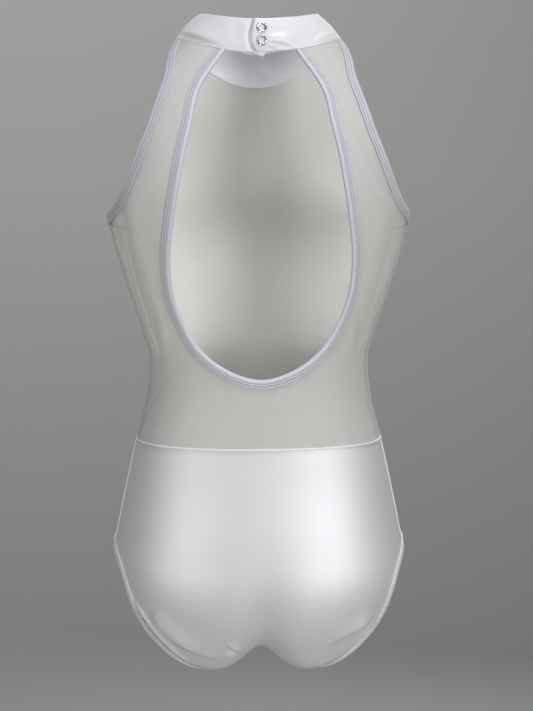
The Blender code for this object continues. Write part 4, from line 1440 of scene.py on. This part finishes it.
def buildStudio():
    curve = studio["wallRadius"] - studio["floorRadius"]
    profile = [(0.0, 0.0), (studio["floorRadius"], 0.0)]
    profile += [(studio["floorRadius"] + curve * math.sin(t), curve * (1 - math.cos(t)))
                for t in np.linspace(0, math.pi / 2, 14)[1:]]
    profile.append((studio["wallRadius"], studio["wallTop"] - studio["floorHeight"]))
    around = np.linspace(0, 2 * math.pi, 96, endpoint=False)
    built = bmesh.new()
    middle = built.verts.new((0, 0, studio["floorHeight"]))
    rows = []
    for radius, rise in profile[1:]:
        rows.append([built.verts.new((radius * math.sin(a), radius * math.cos(a), studio["floorHeight"] + rise))
                     for a in around])
    for i in range(len(around)):
        k = (i + 1) % len(around)
        built.faces.new((middle, rows[0][i], rows[0][k]))
        for low, high in zip(rows, rows[1:]):
            built.faces.new((low[i], high[i], high[k], low[k]))
    bmesh.ops.recalc_face_normals(built, faces=built.faces)
    bmesh.ops.reverse_faces(built, faces=built.faces)
    mesh = bpy.data.meshes.new("studioSweep")
    built.to_mesh(mesh)
    built.free()
    mesh.shade_smooth()
    made = bpy.data.materials.new("studio paint")
    made.use_nodes = True
    tree = made.node_tree
    where = addNode(tree, "ShaderNodeTexCoord")
    parts = addNode(tree, "ShaderNodeSeparateXYZ")
    # Painted shade: the sweep darkens from the wall colour to the floor colour over its lowest 1.3 m.
    ramp = addNode(tree, "ShaderNodeMapRange")
    setInput(ramp, {"From Min": studio["floorHeight"], "From Max": studio["floorHeight"] + 1.3})
    colour = addNode(tree, "ShaderNodeMix", data_type="RGBA")
    colour.inputs["A"].default_value = (*studio["floorShadeColour"], 1)
    colour.inputs["B"].default_value = (*studio["wallColour"], 1)
    tree.links.new(where.outputs["Object"], parts.inputs[0])
    tree.links.new(parts.outputs["Z"], ramp.inputs["Value"])
    tree.links.new(ramp.outputs["Result"], colour.inputs["Factor"])
    shader = tree.nodes["Principled BSDF"]
    tree.links.new(colour.outputs["Result"], shader.inputs["Base Color"])
    shader.inputs["Roughness"].default_value = 0.9
    mesh.materials.append(made)
    sweep = bpy.data.objects.new("studioSweep", mesh)
    bpy.context.scene.collection.objects.link(sweep)


lamps = {
    "key": {"place": (1.50, -2.00, -0.25), "aim": (0.0, 0.0, -0.40), "size": 0.9, "power": 28},
    "fill": {"place": (-1.60, -1.95, -0.30), "aim": (0.0, 0.0, -0.40), "size": 0.9, "power": 17},
    "top": {"place": (0.3, -0.6, 2.0), "aim": (0.0, 0.0, -0.20), "size": 1.2, "power": 34},
    "wall": {"place": (-0.3, 2.2, 2.2), "aim": (-0.8, 4.4, 1.2), "size": 1.2, "power": 46},
    "front": {"place": (0.4, 2.2, 0.3), "aim": (0.0, 0.0, -0.30), "size": 1.6, "power": 17},
}


def buildLamps():
    for name, lamp in lamps.items():
        light = bpy.data.lights.new(name + "Lamp", "AREA")
        light.shape, light.size, light.energy = "DISK", lamp["size"], lamp["power"]
        holder = bpy.data.objects.new(name + "Lamp", light)
        place, aim = np.array(lamp["place"]), np.array(lamp["aim"])
        holder.location = place
        away = unit(aim - place)
        holder.rotation_euler = (math.acos(-away[2]), 0.0, math.atan2(-away[0], away[1]))
        bpy.context.scene.collection.objects.link(holder)
    world = bpy.context.scene.world or bpy.data.worlds.new("studio air")
    bpy.context.scene.world = world
    world.use_nodes = True
    back = world.node_tree.nodes["Background"]
    back.inputs["Color"].default_value = (*studio["worldColour"], 1)
    back.inputs["Strength"].default_value = studio["worldStrength"]


view = {
    "place": (-0.0595, -1.6870, -0.1286),
    "pitchDown": 6.5,
    "yawRight": 2.3,
    "focalPixels": 1619.0,
    "imageHeight": 711,
    "sensor": 36.0,
}


def buildCamera():
    lens = bpy.data.cameras.new("photoCamera")
    lens.sensor_width = view["sensor"]
    lens.lens = view["focalPixels"] / view["imageHeight"] * view["sensor"]
    lens.clip_start, lens.clip_end = 0.05, 30.0
    holder = bpy.data.objects.new("photoCamera", lens)
    holder.location = view["place"]
    holder.rotation_euler = (math.radians(90 - view["pitchDown"]), 0.0, -math.radians(view["yawRight"]))
    bpy.context.scene.collection.objects.link(holder)
    bpy.context.scene.camera = holder


for old in [thing for thing in bpy.data.objects if thing.type in {"LIGHT", "CAMERA"} or thing.name == "Cube"]:
    bpy.data.objects.remove(old)
buildStudio()
buildLamps()
buildCamera()
bpy.context.scene.view_settings.view_transform = "Standard"
print("stage, lamps and camera made")
